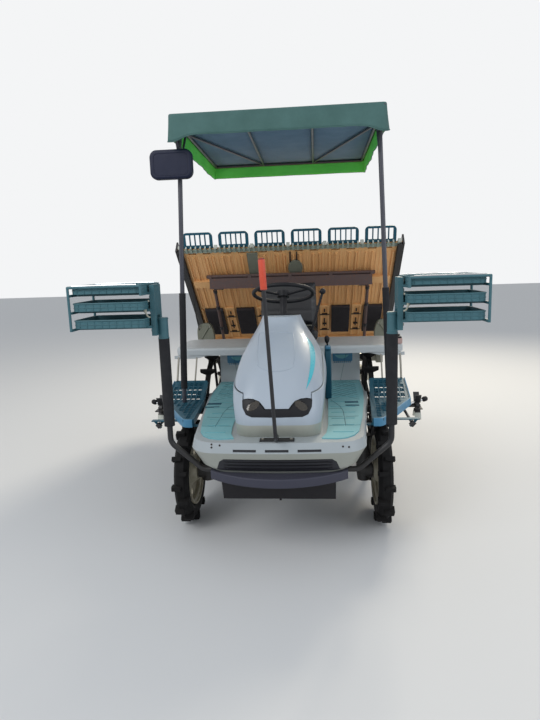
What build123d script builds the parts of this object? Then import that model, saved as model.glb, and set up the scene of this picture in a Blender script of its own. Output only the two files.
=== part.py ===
from build123d import *
import os
from math import asin, atan2, cos, degrees, pi, radians, sin

os.makedirs("parts", exist_ok=True)

# Riding rice transplanter for six rows, with its planting section raised and its seedling racks swung out.
# Millimetres. The machine faces -Y, +Z is up, and the origin is on the ground at the middle of the
# overall length and width. The seat looks along -Y, so the driver's left hand is on +X.

# Overall
HALF_LENGTH = 1545
WHEELBASE = 1050
REAR_AXLE_Y = 160
FRONT_AXLE_Y = REAR_AXLE_Y - WHEELBASE

# Clearances
SEAT_GAP = 0.3
RUN_FIT = 0.05
PANEL_GAP = 3
SKIN = 5

# Front wheels
FRONT_R = 325
FRONT_TRACK = 1220
FRONT_TYRE_W = 100
FRONT_LUGS = 22
FRONT_LUG_T = 24
FRONT_LUG_H = 26
FRONT_RIM_R = 215
KINGPIN_X = 500
KINGPIN_R = 20

# Rear wheels
REAR_R = 475
REAR_TRACK = 1250
REAR_LUGS = 14
REAR_LUG_W = 112
REAR_LUG_T = 18
REAR_RING_R = 428
REAR_RING_H = 24
REAR_RING_W = 36
AXLE_R = 20

# Axle heights follow the lugs, with two lugs straddling the lowest point
FRONT_AXLE_Z = FRONT_R * cos(pi / FRONT_LUGS - asin(FRONT_LUG_T / 2 / FRONT_R))
REAR_AXLE_Z = REAR_R * cos(pi / REAR_LUGS - asin(REAR_LUG_T / 2 / REAR_R))

# Chassis rails
RAIL_X = 190
RAIL_W = 50
RAIL_LOW = 540
RAIL_TOP = 620
RAIL_FRONT_Y = -1400
RAIL_REAR_Y = 340
CROSS_W = 40
OUTRIGGER_TOP = 660
POST_Y = -600
TIE_DOWN_R = 13
TIE_DOWN_Z = 581

# Front axle and steering
PORTAL_Z = 500
PORTAL_R = 36
KING_HOUSING_R = 46
KING_HOUSING_LOW = 445
KING_HOUSING_TOP = 555
DROP_LOW = 262
STEER_ARM = 110
STEER_ARM_LOW = 428
STEER_ARM_TOP = 442

# Deck
DECK_Z = 700
DECK_T = 6
DECK_FRONT_Y = -1480
DECK_REAR_Y = 75
DECK_HALF_FRONT = 480
DECK_HALF_REAR = 624
DECK_CORNER = 150
FASCIA_LOW = 518
FASCIA_MID = 548
FASCIA_CREASE = 645
FASCIA_BACK_Y = -1230
LIP_HALF = 375
LIP_LOW = 466
LIP_FRONT_Y = -1530
GUARD_HALF = 308
GUARD_LOW = 355
BAY_HALF = 214
BAY_FRONT_Y = -1330
BAY_REAR_Y = -800
MAT_T = 6
ARCH_HALF = 558
ARCH_FRONT_Y = -335

# Hood
HOOD_REAR_Y = -740
HOOD_TOP_Z = 1300
NOSE_STEP = 8
SPLIT_REAR_Z = 1060
SPLIT_FRONT_Z = 930
SPLIT_FRONT_Y = -1330
LAMP_X = 130
LAMP_Z = 874
LAMP_TILT = 28
LID_PIN_Y = -752
LID_PIN_Z = 1277
LID_PIN_R = 5

# Driver's place
WHEEL_HUB_Y = -500
WHEEL_HUB_Z = 1424
WHEEL_TILT = 20
WHEEL_RIM_R = 200
COLUMN_R = 24
SEAT_HALF = 240
SEAT_FRONT_Y = -110
SEAT_REAR_Y = 235
SEAT_LOW = 1030
SEAT_TOP = 1130
SEAT_BACK_TOP = 1480

# Rear body
COWL_HALF = 555
COWL_FRONT_Y = 40
COWL_REAR_Y = 320
FENDER_HALF = 865
FENDER_FRONT_Y = -190
FENDER_REAR_Y = 330
FENDER_TOP = 1012
FENDER_LIP_LOW = 955
FENDER_T = 6
FENDER_ROUND = 14

# Side steps
STEP_IN_FRONT = 540
STEP_IN_REAR = 594
STEP_OUT = 845
STEP_NOSE = 605
STEP_FRONT_Y = -1040
STEP_WIDE_Y = -560
STEP_BEND_Y = -540
STEP_REAR_Y = -285
STEP_RISE = 85
STEP_H = 40

# Canopy
POST_FOOT_X = 700
POST_HEAD_X = 626
POST_R = 15
CANOPY_HALF = 656
CANOPY_FRONT_Y = -770
CANOPY_REAR_Y = 800
CANOPY_FRONT_Z = 2540
CANOPY_REAR_Z = 2500
VALANCE = 145
CLOTH_T = 5
CANOPY_TUBE_R = 12

# Centre pole
POLE_R = 10
POLE_SLEEVE_R = 16
POLE_Y = -HALF_LENGTH + POLE_SLEEVE_R
POLE_FOOT_Z = 738
POLE_TOP_Z = 1650
POLE_LEAN = 42
POLE_GRIP_L = 150
POLE_PLATE_HALF = 92
POLE_PLATE_T = 6
POLE_PLATE_BACK_Y = -1408
POLE_ARM_Y = -1440
POLE_ARM_HALF = 9

# Mirror, on the post of the driver's right side
MIRROR_X = -673
MIRROR_Z = 2260
MIRROR_HALF_W = 136
MIRROR_HALF_H = 90
MIRROR_FRONT = 92
MIRROR_BACK = 52
MIRROR_ROUND = 46
MIRROR_EDGE = 16
MIRROR_ARM_RISE = 40
MIRROR_ARM_R = 8

# Spare seedling racks
RACK_POST_X = 620
RACK_POST_Y = -1280
RACK_POST_R = 16
RACK_POST_TOP = 1400
CRADLE_Z = 480
CRADLE_X = 440
RACK_BEND_Z = 640
RACK_GRIP_R = 30
RACK_SLEEVE_Z = 1240
RACK_REACH = 1075
TRAY_W = 300
TRAY_LIP = 42
TRAY_WALL = 5
RAIL_ROD_R = 7
TRAY_LEVELS = (1318, 1408, 1498)

# Line markers, folded back below the steps
MARKER_X = 800
MARKER_Y = -900
MARKER_Z = 625
MARKER_ARM = 430
MARKER_TILT = 41.4
MARKER_PIN_R = 8
STAR_X = 905
STAR_R = 98

# Lift linkage, in the raised pose
LINK_Y = 380
LINK_LOW_Z = 520
LINK_RISE = 300
LINK_L = 640
LINK_UP = 20
LINK_X = 150
LINK_T = 20
LINK_PIN_R = 12
RAM_Y = 400
RAM_Z = 330
RAM_EYE = 350
RAM_R = 30
RAM_BARREL = 250
RAM_ROD_R = 14

# Planting section
BEAM_Y = 1060
BEAM_Z = 700
BEAM_R = 32
BEAM_HALF = 850
ROW_PITCH = 300
CASE_PITCH = 600
ROTOR_Y = 1375
ROTOR_Z = 680
ROTOR_TIP_R = 165
ROTOR_SHAFT_R = 14
FLOAT_LOW = 520
FLOAT_TOP = 600
FLOAT_TAIL_TOP = 550
FLOAT_TAIL_HALF = 86

# Seedling table, laid out along its slope
TABLE_TOP_Y = 360
TABLE_TOP_Z = 1762
TABLE_SLOPE = 42.8
TABLE_LEN = 1304
TABLE_HALF = 925
TABLE_T = 20
RIB_H = 12
WALL_H = 40
BELT_TAIL = 124
BELT_L = 400
BELT_END = TABLE_LEN - BELT_TAIL
BELT_START = BELT_END - BELT_L
BELT_W = 170
BELT_DROP = 34
BELT_ROUND = 12
ROWS = 6
RIB_PLACES = (-110, -55, 55, 110)
RIB_HALF = 5
RIB_START = 90
SLOT_X = 62
SLOT_HALF = 34
SLOT_START = 44
SLOT_END = 60
TABLE_FOOT = 30
DIVIDER_START = 40
SIDE_T = 14
SIDE_OVER = 20
SIDE_LOW = 30
SIDE_HIGH = 72
GUIDE_START = 380
GUIDE_END = 460
GUIDE_DROP = 26
SUPPORT_X = 665
SUPPORT_Y = 550
SUPPORT_Z = 1470
SUPPORT_PIPE_R = 14
SUPPORT_BEND = 60
SUPPORT_BEAM_HALF = 700
SUPPORT_BEAM_D = 30
SUPPORT_BEAM_H = 45
SUPPORT_STAY_R = 12
HOOP_W = 250
HOOP_H = 128
HOOP_T = 14
HOOP_ROUND = 34
HOOP_TILT = 14
HOOP_BARS = 5
HOOP_PITCH = 42
HOOP_SLOT = 32


def block(x0, x1, y0, y1, z0, z1):
    """A box between two corners."""
    return Pos((x0 + x1) / 2, (y0 + y1) / 2, (z0 + z1) / 2) * Box(x1 - x0, y1 - y0, z1 - z0)


def rod(start, end, radius):
    """A round bar between two points."""
    along = Vector(*end) - Vector(*start)
    return Solid.make_cylinder(radius, along.length, Plane(origin=start, z_dir=along))


def cross_rod(x0, x1, y, z, radius):
    """A round bar along X."""
    return rod((x0, y, z), (x1, y, z), radius)


def prism_x(points, x0, x1):
    """A profile of (y, z) points carried along X."""
    face = make_face(Polyline([(x0, y, z) for y, z in points], close=True))
    return extrude(face, amount=x1 - x0, dir=(1, 0, 0))


def prism_z(points, z0, z1):
    """A plan outline of (x, y) points carried up."""
    face = make_face(Polyline([(x, y, z0) for x, y in points], close=True))
    return extrude(face, amount=z1 - z0, dir=(0, 0, 1))


def prism_y(points, y0, y1):
    """A front outline of (x, z) points carried along Y."""
    face = make_face(Polyline([(x, y0, z) for x, z in points], close=True))
    return extrude(face, amount=y1 - y0, dir=(0, 1, 0))


def pipe(points, radius, bend):
    """A bent tube with tangent arcs at its corners."""
    path = FilletPolyline(*points, radius=bend)
    return sweep(Plane(origin=path @ 0, z_dir=path % 0) * Circle(radius), path=path)


def join(shapes):
    """One shape out of several."""
    return shapes[0] + list(shapes[1:])


def flip(shape):
    """The same shape on the machine's other side."""
    return mirror(shape, about=Plane.YZ)


def both(shape):
    """A shape with its mirror image."""
    return shape + flip(shape)


def polar(y, z, length, angle):
    """A point at a distance and an angle above the rearward direction."""
    return y + length * cos(radians(angle)), z + length * sin(radians(angle))


def on_slope(s, v):
    """The (y, z) of a point s down the seedling table and v above its underside."""
    slope = radians(TABLE_SLOPE)
    y = TABLE_TOP_Y + s * cos(slope) + v * sin(slope)
    z = TABLE_TOP_Z - s * sin(slope) + v * cos(slope)
    return y, z


def slope_bar(x0, x1, s0, s1, v0, v1):
    """A bar whose section is square to the seedling table."""
    corners = [on_slope(s0, v0), on_slope(s1, v0), on_slope(s1, v1), on_slope(s0, v1)]
    return prism_x(corners, x0, x1)


NODES = {}


def keep(name, shape):
    NODES[name] = shape


# Chassis frame

def frame_rails():
    inner = RAIL_X - RAIL_W / 2
    outer = RAIL_X + RAIL_W / 2
    pieces = [block(inner, outer, RAIL_FRONT_Y, RAIL_REAR_Y, RAIL_LOW, RAIL_TOP)]
    pieces.append(block(-outer, -inner, RAIL_FRONT_Y, RAIL_REAR_Y, RAIL_LOW, RAIL_TOP))
    for y in (RAIL_FRONT_Y, POST_Y - CROSS_W / 2, -140, RAIL_REAR_Y - CROSS_W):
        pieces.append(block(-outer, outer, y, y + CROSS_W, RAIL_LOW + 10, RAIL_TOP - 10))
    # Outriggers on the rails: centre y, half length, top
    outriggers = ((-1260, 450, OUTRIGGER_TOP), (POST_Y, MARKER_X - 30, OUTRIGGER_TOP),
                  (-180, COWL_HALF - 10, OUTRIGGER_TOP))
    for y, half, top in outriggers:
        pieces.append(block(-half, half, y - CROSS_W / 2, y + CROSS_W / 2, RAIL_TOP, top))
    pieces.append(block(-COWL_HALF, COWL_HALF, 262, 302, RAIL_TOP, DECK_Z))
    # Saddles for the rack cradle, and for the rear axle
    saddle_z = CRADLE_Z + RACK_POST_R + SEAT_GAP
    for side in (-1, 1):
        x = side * RAIL_X
        pieces.append(block(x - 25, x + 25, RACK_POST_Y - 20, RACK_POST_Y + 20, saddle_z, RAIL_LOW))
        plate = block(x - 25, x + 25, RAIL_REAR_Y, RAIL_REAR_Y + 60, TIE_DOWN_Z - 6, TIE_DOWN_Z + 6)
        bore = rod((x, RAIL_REAR_Y + 36, TIE_DOWN_Z - 8), (x, RAIL_REAR_Y + 36, TIE_DOWN_Z + 8), TIE_DOWN_R)
        pieces.append(plate - bore)
    # Lugs and pin of the lower links
    for side in (-1, 1):
        x = side * 110
        pieces.append(block(x - 12, x + 12, RAIL_REAR_Y - 10, LINK_Y + 24, LINK_LOW_Z - 24, LINK_LOW_Z + 40))
    pieces.append(block(-122, 122, RAIL_REAR_Y - CROSS_W, RAIL_REAR_Y, LINK_LOW_Z - 24, RAIL_LOW + 20))
    pieces.append(cross_rod(-LINK_X - 22, LINK_X + 22, LINK_Y, LINK_LOW_Z, LINK_PIN_R))
    # Mast and pin of the upper link
    top_z = LINK_LOW_Z + LINK_RISE
    mast = [(RAIL_REAR_Y - CROSS_W, RAIL_TOP - 15), (RAIL_REAR_Y, RAIL_TOP - 15)]
    mast.append((RAIL_REAR_Y + 60, top_z - 60))
    mast += [(LINK_Y + 22, top_z + 22), (LINK_Y - 22, top_z + 22), (RAIL_REAR_Y - 5, top_z - 40)]
    for side in (-1, 1):
        pieces.append(prism_x(mast, side * 45 - 8, side * 45 + 8))
    pieces.append(cross_rod(-53, 53, LINK_Y, top_z, LINK_PIN_R - 2))
    # Lugs and pin of the lift cylinder
    for side in (-1, 1):
        lug = [(RAIL_REAR_Y - 30, LINK_LOW_Z), (RAIL_REAR_Y, LINK_LOW_Z), (RAM_Y + 22, RAM_Z + 20)]
        lug += [(RAM_Y + 22, RAM_Z - 22), (RAM_Y - 22, RAM_Z - 22), (RAIL_REAR_Y - 30, RAM_Z + 60)]
        pieces.append(prism_x(lug, side * 42 - 7, side * 42 + 7))
    pieces.append(cross_rod(-49, 49, RAM_Y, RAM_Z, LINK_PIN_R))
    keep("frame_rails", join(pieces))


def engine_block():
    head = block(-130, 130, -1130, -890, 900, 1015)
    sump = block(-120, 120, -1180, -920, 565, RAIL_TOP)
    keep("engine_block", join([block(-175, 175, -1225, -880, RAIL_TOP, 905), head, sump]))


def transmission_case():
    body = block(-150, 150, -60, 290, 395, 605)
    body = fillet(body.edges().filter_by(Axis.Y), 30)
    ears = [block(-165, 165, y, y + 50, 550, 596) for y in (-40, 210)]
    shaft = rod((0, -55, 470), (0, FRONT_AXLE_Y + 95 + SEAT_GAP, 470), 16)
    keep("transmission_case", join([body, shaft] + ears))


def rear_axle():
    half = REAR_TRACK / 2
    pieces = []
    for side in (-1, 1):
        x_in = side * 150
        pieces.append(cross_rod(x_in, side * (half - 80), REAR_AXLE_Y, REAR_AXLE_Z, 42))
        pieces.append(cross_rod(side * (half - 86), side * (half - 70), REAR_AXLE_Y, REAR_AXLE_Z, 62))
        pieces.append(cross_rod(side * (half - 80), side * (half + 46), REAR_AXLE_Y, REAR_AXLE_Z, AXLE_R))
        x = side * RAIL_X
        pieces.append(block(x - 25, x + 25, REAR_AXLE_Y - 45, REAR_AXLE_Y + 45, REAR_AXLE_Z + 20, RAIL_LOW))
    keep("rear_axle", join(pieces))


# Front axle, knuckles and steering

def front_axle():
    pieces = [cross_rod(-KINGPIN_X + 20, KINGPIN_X - 20, FRONT_AXLE_Y, PORTAL_Z, PORTAL_R)]
    centre = block(-110, 110, FRONT_AXLE_Y - 95, FRONT_AXLE_Y + 95, 415, RAIL_LOW - 8)
    pieces.append(fillet(centre.edges().filter_by(Axis.X), 34))
    for side in (-1, 1):
        x = side * RAIL_X
        pieces.append(block(x - 25, x + 25, FRONT_AXLE_Y - 40, FRONT_AXLE_Y + 40, PORTAL_Z, RAIL_LOW))
        king = (side * KINGPIN_X, FRONT_AXLE_Y)
        pieces.append(rod((*king, KING_HOUSING_LOW), (*king, KING_HOUSING_TOP), KING_HOUSING_R))
    body = join(pieces)
    for side in (-1, 1):
        king = (side * KINGPIN_X, FRONT_AXLE_Y)
        body -= rod((*king, KING_HOUSING_LOW - 1), (*king, KING_HOUSING_TOP - 3), KINGPIN_R + RUN_FIT)
    keep("front_axle", body)


def knuckle():
    """The steered drop case on +X, from its kingpin down to the wheel's stub."""
    y = FRONT_AXLE_Y
    top = KING_HOUSING_LOW - SEAT_GAP
    case = Cone(38, 46, 60, align=(Align.CENTER, Align.CENTER, Align.MIN))
    pieces = [Pos(KINGPIN_X, y, DROP_LOW) * case]
    pieces.append(rod((KINGPIN_X, y, DROP_LOW + 60), (KINGPIN_X, y, top), 46))
    pieces.append(rod((KINGPIN_X, y, top - 5), (KINGPIN_X, y, KING_HOUSING_TOP - 6), KINGPIN_R))
    hub_x = FRONT_TRACK / 2
    pieces.append(cross_rod(KINGPIN_X, hub_x - 56, y, FRONT_AXLE_Z, 50))
    pieces.append(cross_rod(KINGPIN_X, hub_x + 38, y, FRONT_AXLE_Z, AXLE_R))
    arm = block(KINGPIN_X - 16, KINGPIN_X + 16, y + 20, y + STEER_ARM + 18, STEER_ARM_LOW, STEER_ARM_TOP)
    pieces.append(fillet(arm.edges().filter_by(Axis.Z), 12))
    return join(pieces)


def tie_rod():
    y = FRONT_AXLE_Y + STEER_ARM
    top = STEER_ARM_LOW - 0.5
    pieces = [cross_rod(-KINGPIN_X, KINGPIN_X, y, top - 16, 9)]
    for side in (-1, 1):
        pieces.append(rod((side * KINGPIN_X, y, top - 32), (side * KINGPIN_X, y, top), 16))
    keep("tie_rod", join(pieces))


# Wheels, made on +X

def front_tyre():
    """A narrow rubber tyre with cleats set in turn on its two shoulders."""
    half = FRONT_TYRE_W / 2 - 6
    body_r = FRONT_R - FRONT_LUG_H
    low = FRONT_RIM_R + SEAT_GAP
    points = [(-half + 14, low), (half - 14, low), (half, low + 30)]
    points += [(half - 4, body_r - 18), (half - 22, body_r)]
    points += [(-half + 22, body_r), (-half + 4, body_r - 18), (-half, low + 30)]
    tyre = revolve(make_face(Polyline([(x, 0, r) for x, r in points], close=True)), Axis.X, 360)
    lugs = []
    for i in range(FRONT_LUGS):
        side = 1 if i % 2 else -1
        profile = [(-side * 8, body_r - 12), (side * 50, body_r - 30), (side * 50, FRONT_R - 12)]
        profile += [(side * 42, FRONT_R + 4), (-side * 8, FRONT_R + 4)]
        face = make_face(Polyline([(x, -FRONT_LUG_T / 2, r) for x, r in profile], close=True))
        lug = extrude(face, amount=FRONT_LUG_T, dir=(0, 1, 0))
        lugs.append(Rot((i + 0.5) * 360 / FRONT_LUGS, 0, 0) * lug)
    solid = join([tyre] + lugs) & cross_rod(-FRONT_TYRE_W, FRONT_TYRE_W, 0, 0, FRONT_R)
    return Pos(FRONT_TRACK / 2, FRONT_AXLE_Y, FRONT_AXLE_Z) * solid


def front_rim():
    """A pressed rim with a dished disc, holes in the disc and a hub."""
    points = [(-42, FRONT_RIM_R - 12), (-30, FRONT_RIM_R - 14), (-22, FRONT_RIM_R - 26), (0, FRONT_RIM_R - 26)]
    points += [(6, 120), (-20, 78), (-50, 62), (-50, 40), (38, 40), (44, 70), (2, 84), (14, 124)]
    points += [(12, FRONT_RIM_R - 22), (30, FRONT_RIM_R - 10), (40, FRONT_RIM_R - 8), (40, FRONT_RIM_R)]
    points += [(-42, FRONT_RIM_R)]
    disc = revolve(make_face(Polyline([(x, 0, r) for x, r in points], close=True)), Axis.X, 360)
    holes = [Rot(i * 60, 0, 0) * cross_rod(-40, 60, 0, 150, 22) for i in range(6)]
    hub = cross_rod(-50, 38, 0, 0, 42)
    rim = join([disc, hub]) - holes - cross_rod(-60, 38 + 1, 0, 0, AXLE_R + RUN_FIT)
    cap = cross_rod(38 + SEAT_GAP, 44, 0, 0, 41)
    return Pos(FRONT_TRACK / 2, FRONT_AXLE_Y, FRONT_AXLE_Z) * join([rim, cap])


def rear_wheel():
    """A slim ring with rubber paddles, six bent spokes and a hub."""
    half = REAR_RING_W / 2
    ring = cross_rod(-half, half, 0, 0, REAR_RING_R) - cross_rod(-half, half, 0, 0, REAR_RING_R - REAR_RING_H)
    paddles = []
    width = REAR_LUG_W / 2
    for i in range(REAR_LUGS):
        outline = [(-14, REAR_RING_R - 8), (14, REAR_RING_R - 8), (width, REAR_R - 26), (width, REAR_R + 6)]
        outline += [(-width, REAR_R + 6), (-width, REAR_R - 26)]
        face = make_face(Polyline([(x, -REAR_LUG_T / 2, r) for x, r in outline], close=True))
        paddle = extrude(face, amount=REAR_LUG_T, dir=(0, 1, 0))
        paddles.append(Rot((i + 0.5) * 360 / REAR_LUGS, 0, 0) * paddle)
    wheel = join([ring] + paddles) & cross_rod(-REAR_LUG_W, REAR_LUG_W, 0, 0, REAR_R)
    spokes = []
    for i in range(6):
        offset = 24 if i % 2 else -24
        spoke = rod((offset, 0, 40), (0, 0, REAR_RING_R - REAR_RING_H + 6), 11)
        spokes.append(Rot(i * 60, 0, 0) * spoke)
    wheel = join([wheel, cross_rod(-44, 44, 0, 0, 52)] + spokes)
    wheel -= cross_rod(-50, 50, 0, 0, AXLE_R + RUN_FIT)
    return Pos(REAR_TRACK / 2, REAR_AXLE_Y, REAR_AXLE_Z) * wheel


# Deck and front

def deck_outline(z, inset, sides=0):
    """The deck's plan at one height, drawn in from its widest outline, and more so at its sides."""
    front = DECK_FRONT_Y + inset
    half_f = DECK_HALF_FRONT - inset - sides
    half_r = DECK_HALF_REAR - inset - sides
    corner = DECK_CORNER
    k = corner * (1 - cos(pi / 4))
    left = [Line((-half_r, DECK_REAR_Y, z), (-half_f, front + corner, z))]
    left.append(ThreePointArc((-half_f, front + corner, z), (-half_f + k, front + k, z),
                              (-half_f + corner, front, z)))
    right = [ThreePointArc((half_f - corner, front, z), (half_f - k, front + k, z),
                           (half_f, front + corner, z))]
    right.append(Line((half_f, front + corner, z), (half_r, DECK_REAR_Y, z)))
    bow = ThreePointArc((-half_f + corner, front, z), (0, front - 14, z), (half_f - corner, front, z))
    return make_face(left + [bow] + right + [Line((half_r, DECK_REAR_Y, z), (-half_r, DECK_REAR_Y, z))])


def deck_form(inset, drop, low):
    """The deck's moulded volume: its top edge, its crease and the tuck of its lower edge."""
    levels = ((low, 55, 30), (FASCIA_MID, 33, 15), (FASCIA_CREASE, 0, 0), (DECK_Z - drop, 12, 0))
    return loft([deck_outline(z, front + inset, sides) for z, front, sides in levels], ruled=True)


# Half outline of the louvred panel in the front view, from its top edge down
GRILLE = ((288, 609), (312, 592), (335, 531))


def grille_window(gap):
    """The louvred panel's window, carried through the fascia and drawn in by a gap."""
    right = [(x - gap, z - gap if z > FASCIA_MID else z + gap) for x, z in GRILLE]
    left = [(-x, z) for x, z in reversed(right)]
    return prism_y(right + left, DECK_FRONT_Y - 40, DECK_FRONT_Y + 120)


def slots():
    """The three slots above the crease of the fascia."""
    cuts = []
    for x in (-171, 0, 171):
        cuts.append(block(x - 62, x + 62, DECK_FRONT_Y - 20, DECK_FRONT_Y + 100, 652, 666))
    return cuts


def deck_shell():
    shell = deck_form(0, 0, FASCIA_LOW) - deck_form(SKIN, DECK_T, FASCIA_LOW - 1)
    shell -= block(-700, 700, FASCIA_BACK_Y, DECK_REAR_Y + 10, FASCIA_LOW - 10, OUTRIGGER_TOP)
    shell -= both(block(ARCH_HALF, 700, ARCH_FRONT_Y, DECK_REAR_Y + 10, FASCIA_LOW, DECK_Z + 10))
    ribs = []
    for y, inner, half in ((-1260, BAY_HALF, 430), (POST_Y, 0, 480), (-180, 0, 495)):
        for side in (-1, 1):
            x0, x1 = sorted((side * inner, side * half))
            ribs.append(block(x0, x1, y - 14, y + 14, OUTRIGGER_TOP, DECK_Z - DECK_T + 1))
    shell = join([shell] + ribs)
    shell -= block(-BAY_HALF, BAY_HALF, BAY_FRONT_Y, BAY_REAR_Y, FASCIA_LOW, DECK_Z + 10)
    keep("deck_shell", shell - grille_window(0) - slots())


def grille_panel():
    """The black louvred panel in the lower fascia, and the black plate behind its three slots."""
    panel = (deck_form(1, 0, FASCIA_LOW) - deck_form(9, DECK_T, FASCIA_LOW - 1)) & grille_window(SEAT_GAP)
    for z in (552, 572, 592):
        outer = block(-270, 270, DECK_FRONT_Y - 20, DECK_FRONT_Y + 100, z - 5, z + 3)
        panel -= outer - deck_form(5, 0, FASCIA_LOW)
    back = deck_form(SKIN + SEAT_GAP, DECK_T + SEAT_GAP, FASCIA_LOW - 1) - deck_form(9, 12, FASCIA_LOW - 2)
    back &= block(-245, 245, DECK_FRONT_Y - 40, DECK_FRONT_Y + 100, 647, 671)
    keep("grille_panel", join([panel, back]))


def front_lip():
    """The black lip below the fascia, the sloping guard plate under it and a tie-down eye."""
    half, low, end_y, back_y = LIP_HALF, LIP_LOW, -1395, -1355
    arc = ThreePointArc((-half, end_y, low), (0, LIP_FRONT_Y, low), (half, end_y, low))
    back = Polyline((half, end_y, low), (half, back_y, low), (-half, back_y, low), (-half, end_y, low))
    lip = extrude(make_face([arc] + list(back.edges())), amount=FASCIA_LOW - SEAT_GAP - low, dir=(0, 0, 1))
    lip = fillet(lip.edges().filter_by(GeomType.CIRCLE), 8)
    side = [(-1440, low + 5), (-1400, GUARD_LOW), (-1010, GUARD_LOW + 30), (-1010, GUARD_LOW + 38)]
    side += [(-1395, GUARD_LOW + 8), (-1430, low + 5)]
    guard = prism_x(side, -GUARD_HALF, GUARD_HALF)
    near, far = RAIL_FRONT_Y + 8, RAIL_FRONT_Y + 45
    hangers = [block(s * RAIL_X - 25, s * RAIL_X + 25, near, far, GUARD_LOW + 5, RAIL_LOW)
               for s in (-1, 1)]
    bore_z = GUARD_LOW - 21
    eye_side = [(-1340, GUARD_LOW + 8), (-1240, GUARD_LOW + 14), (-1262, bore_z - 26), (-1318, bore_z - 26)]
    eye = prism_x(eye_side, -6, 6)
    eye -= cross_rod(-10, 10, -1290, bore_z, TIE_DOWN_R)
    keep("front_lip", join([lip, guard, eye] + hangers))


def mat_outline(side):
    rear = COWL_FRONT_Y - 20
    outer = [(486, -1000), (526, -620), (ARCH_HALF - 12, ARCH_FRONT_Y - 10)]
    outer += [(ARCH_HALF - 12, rear), (300, rear)]
    outer += [(288, -700), (276, -1180), (262, -1330), (236, -1412), (318, -1422), (372, -1404), (412, -1362)]
    outer += [(444, -1285)]
    return [(side * x, y) for x, y in outer]


def floor_mats():
    """Rubber mats beside the hood with raised ribs, and the pads on the riser behind them."""
    pieces = []
    for side in (-1, 1):
        mat = prism_z(mat_outline(side), DECK_Z, DECK_Z + MAT_T)
        ribs = []
        for i in range(10):
            y = -1310 + i * 132
            x0, x1 = sorted((side * 300, side * (412 + i * 12)))
            ribs.append(block(x0, x1, y - 4, y + 4, DECK_Z + MAT_T - 1, DECK_Z + MAT_T + 3))
        pieces.append(join([mat] + ribs))
        pieces.append(riser_pad(side))
    keep("floor_mats", join(pieces))


def cowl_front(z):
    """The riser's face leans back a little as it rises."""
    return COWL_FRONT_Y + (z - DECK_Z) * 0.12


def riser_pad(side):
    x = side * 415
    arc = ThreePointArc((x - 66, 0, 950), (x, 0, 872), (x + 66, 0, 950))
    face = make_face([arc, Line((x + 66, 0, 950), (x - 66, 0, 950))])
    slab = prism_x([(cowl_front(860) - 6, 860), (cowl_front(860), 860),
                    (cowl_front(960), 960), (cowl_front(960) - 6, 960)], x - 80, x + 80)
    return extrude(Pos(0, COWL_FRONT_Y - 60, 0) * face, amount=200, dir=(0, 1, 0)) & slab


# Hood. Columns: height, half width at the rear, half width at the front, front Y, corner, share of the inset
HOOD_ROWS = (
    (700, 262, 228, -1368, 90, 0.0),
    (850, 266, 240, -1385, 105, 0.0),
    (1000, 264, 246, -1290, 150, 0.5),
    (1120, 222, 208, -1150, 160, 0.7),
    (1215, 163, 150, -972, 130, 0.9),
    (HOOD_TOP_Z, 120, 108, -862, 86, 1.0),
)


def hood_section(z, rear_half, front_half, front, corner, rear):
    k = corner * (1 - cos(pi / 4))
    a = (-rear_half, rear, z)
    b = (-front_half, front + corner, z)
    c = (-front_half + corner, front, z)
    d = (front_half - corner, front, z)
    e = (front_half, front + corner, z)
    f = (rear_half, rear, z)
    left = ThreePointArc(b, (-front_half + k, front + k, z), c)
    right = ThreePointArc(d, (front_half - k, front + k, z), e)
    return make_face([Line(a, b), left, Line(c, d), right, Line(e, f), Line(f, a)])


def hood_form(inset, beyond=0):
    """The hood's volume drawn in by an inset, open past its foot and rear by the length beyond."""
    faces = []
    for row, (z, rear_half, front_half, front, corner, share) in enumerate(HOOD_ROWS):
        level = z - inset * share - (beyond if row == 0 else 0)
        faces.append(hood_section(level, rear_half - inset, front_half - inset, front + inset,
                                  max(corner - inset, 10), HOOD_REAR_Y + beyond))
    return loft(faces)


LAMP_BAND = ((0, 855), (66, 855), (80, 873), (100, 894), (128, 905), (159, 907), (190, 900), (187, 865),
             (168, 830), (136, 817), (0, 814))


def lamp_band(margin):
    """The smile-shaped dark band over both lamps, in the front view, drawn in by a margin."""
    right = [(x - (margin if x > 100 else -margin if x > 60 else 0), z) for x, z in LAMP_BAND]
    right = [(x, z - margin if z > 852 and x < 160 else z + margin if z < 852 else z) for x, z in right]
    left = [(-x, z) for x, z in reversed(right) if x > 0]
    return prism_y(right + left, -1420, -1200)


def lid_zone(margin):
    """All that opens with the lid: what lies above the sloping split and the beak between the lamps."""
    slope = (SPLIT_REAR_Z - SPLIT_FRONT_Z) / (HOOD_REAR_Y - SPLIT_FRONT_Y)
    back = HOOD_REAR_Y + 40
    front = -1450
    profile = [(front, SPLIT_FRONT_Z + (front - SPLIT_FRONT_Y) * slope + margin)]
    profile += [(back, SPLIT_FRONT_Z + (back - SPLIT_FRONT_Y) * slope + margin), (back, 1400), (front, 1400)]
    above = prism_x(profile, -400, 400)
    right = [(64 - margin, 853 + margin), (188 - margin, 897 + margin), (188 - margin, 960)]
    beak = prism_y(right + [(-x, z) for x, z in reversed(right)], front, -1200)
    return above + beak


def nose_shell():
    wall = hood_form(-NOSE_STEP) - hood_form(-NOSE_STEP + SKIN, 2)
    wall &= block(-400, 400, -1500, HOOD_REAR_Y, DECK_Z, HOOD_TOP_Z)
    shell = wall - lid_zone(0) - lamp_band(0)
    keep("nose_shell", shell.solids().sort_by(SortBy.VOLUME)[-1])


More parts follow.
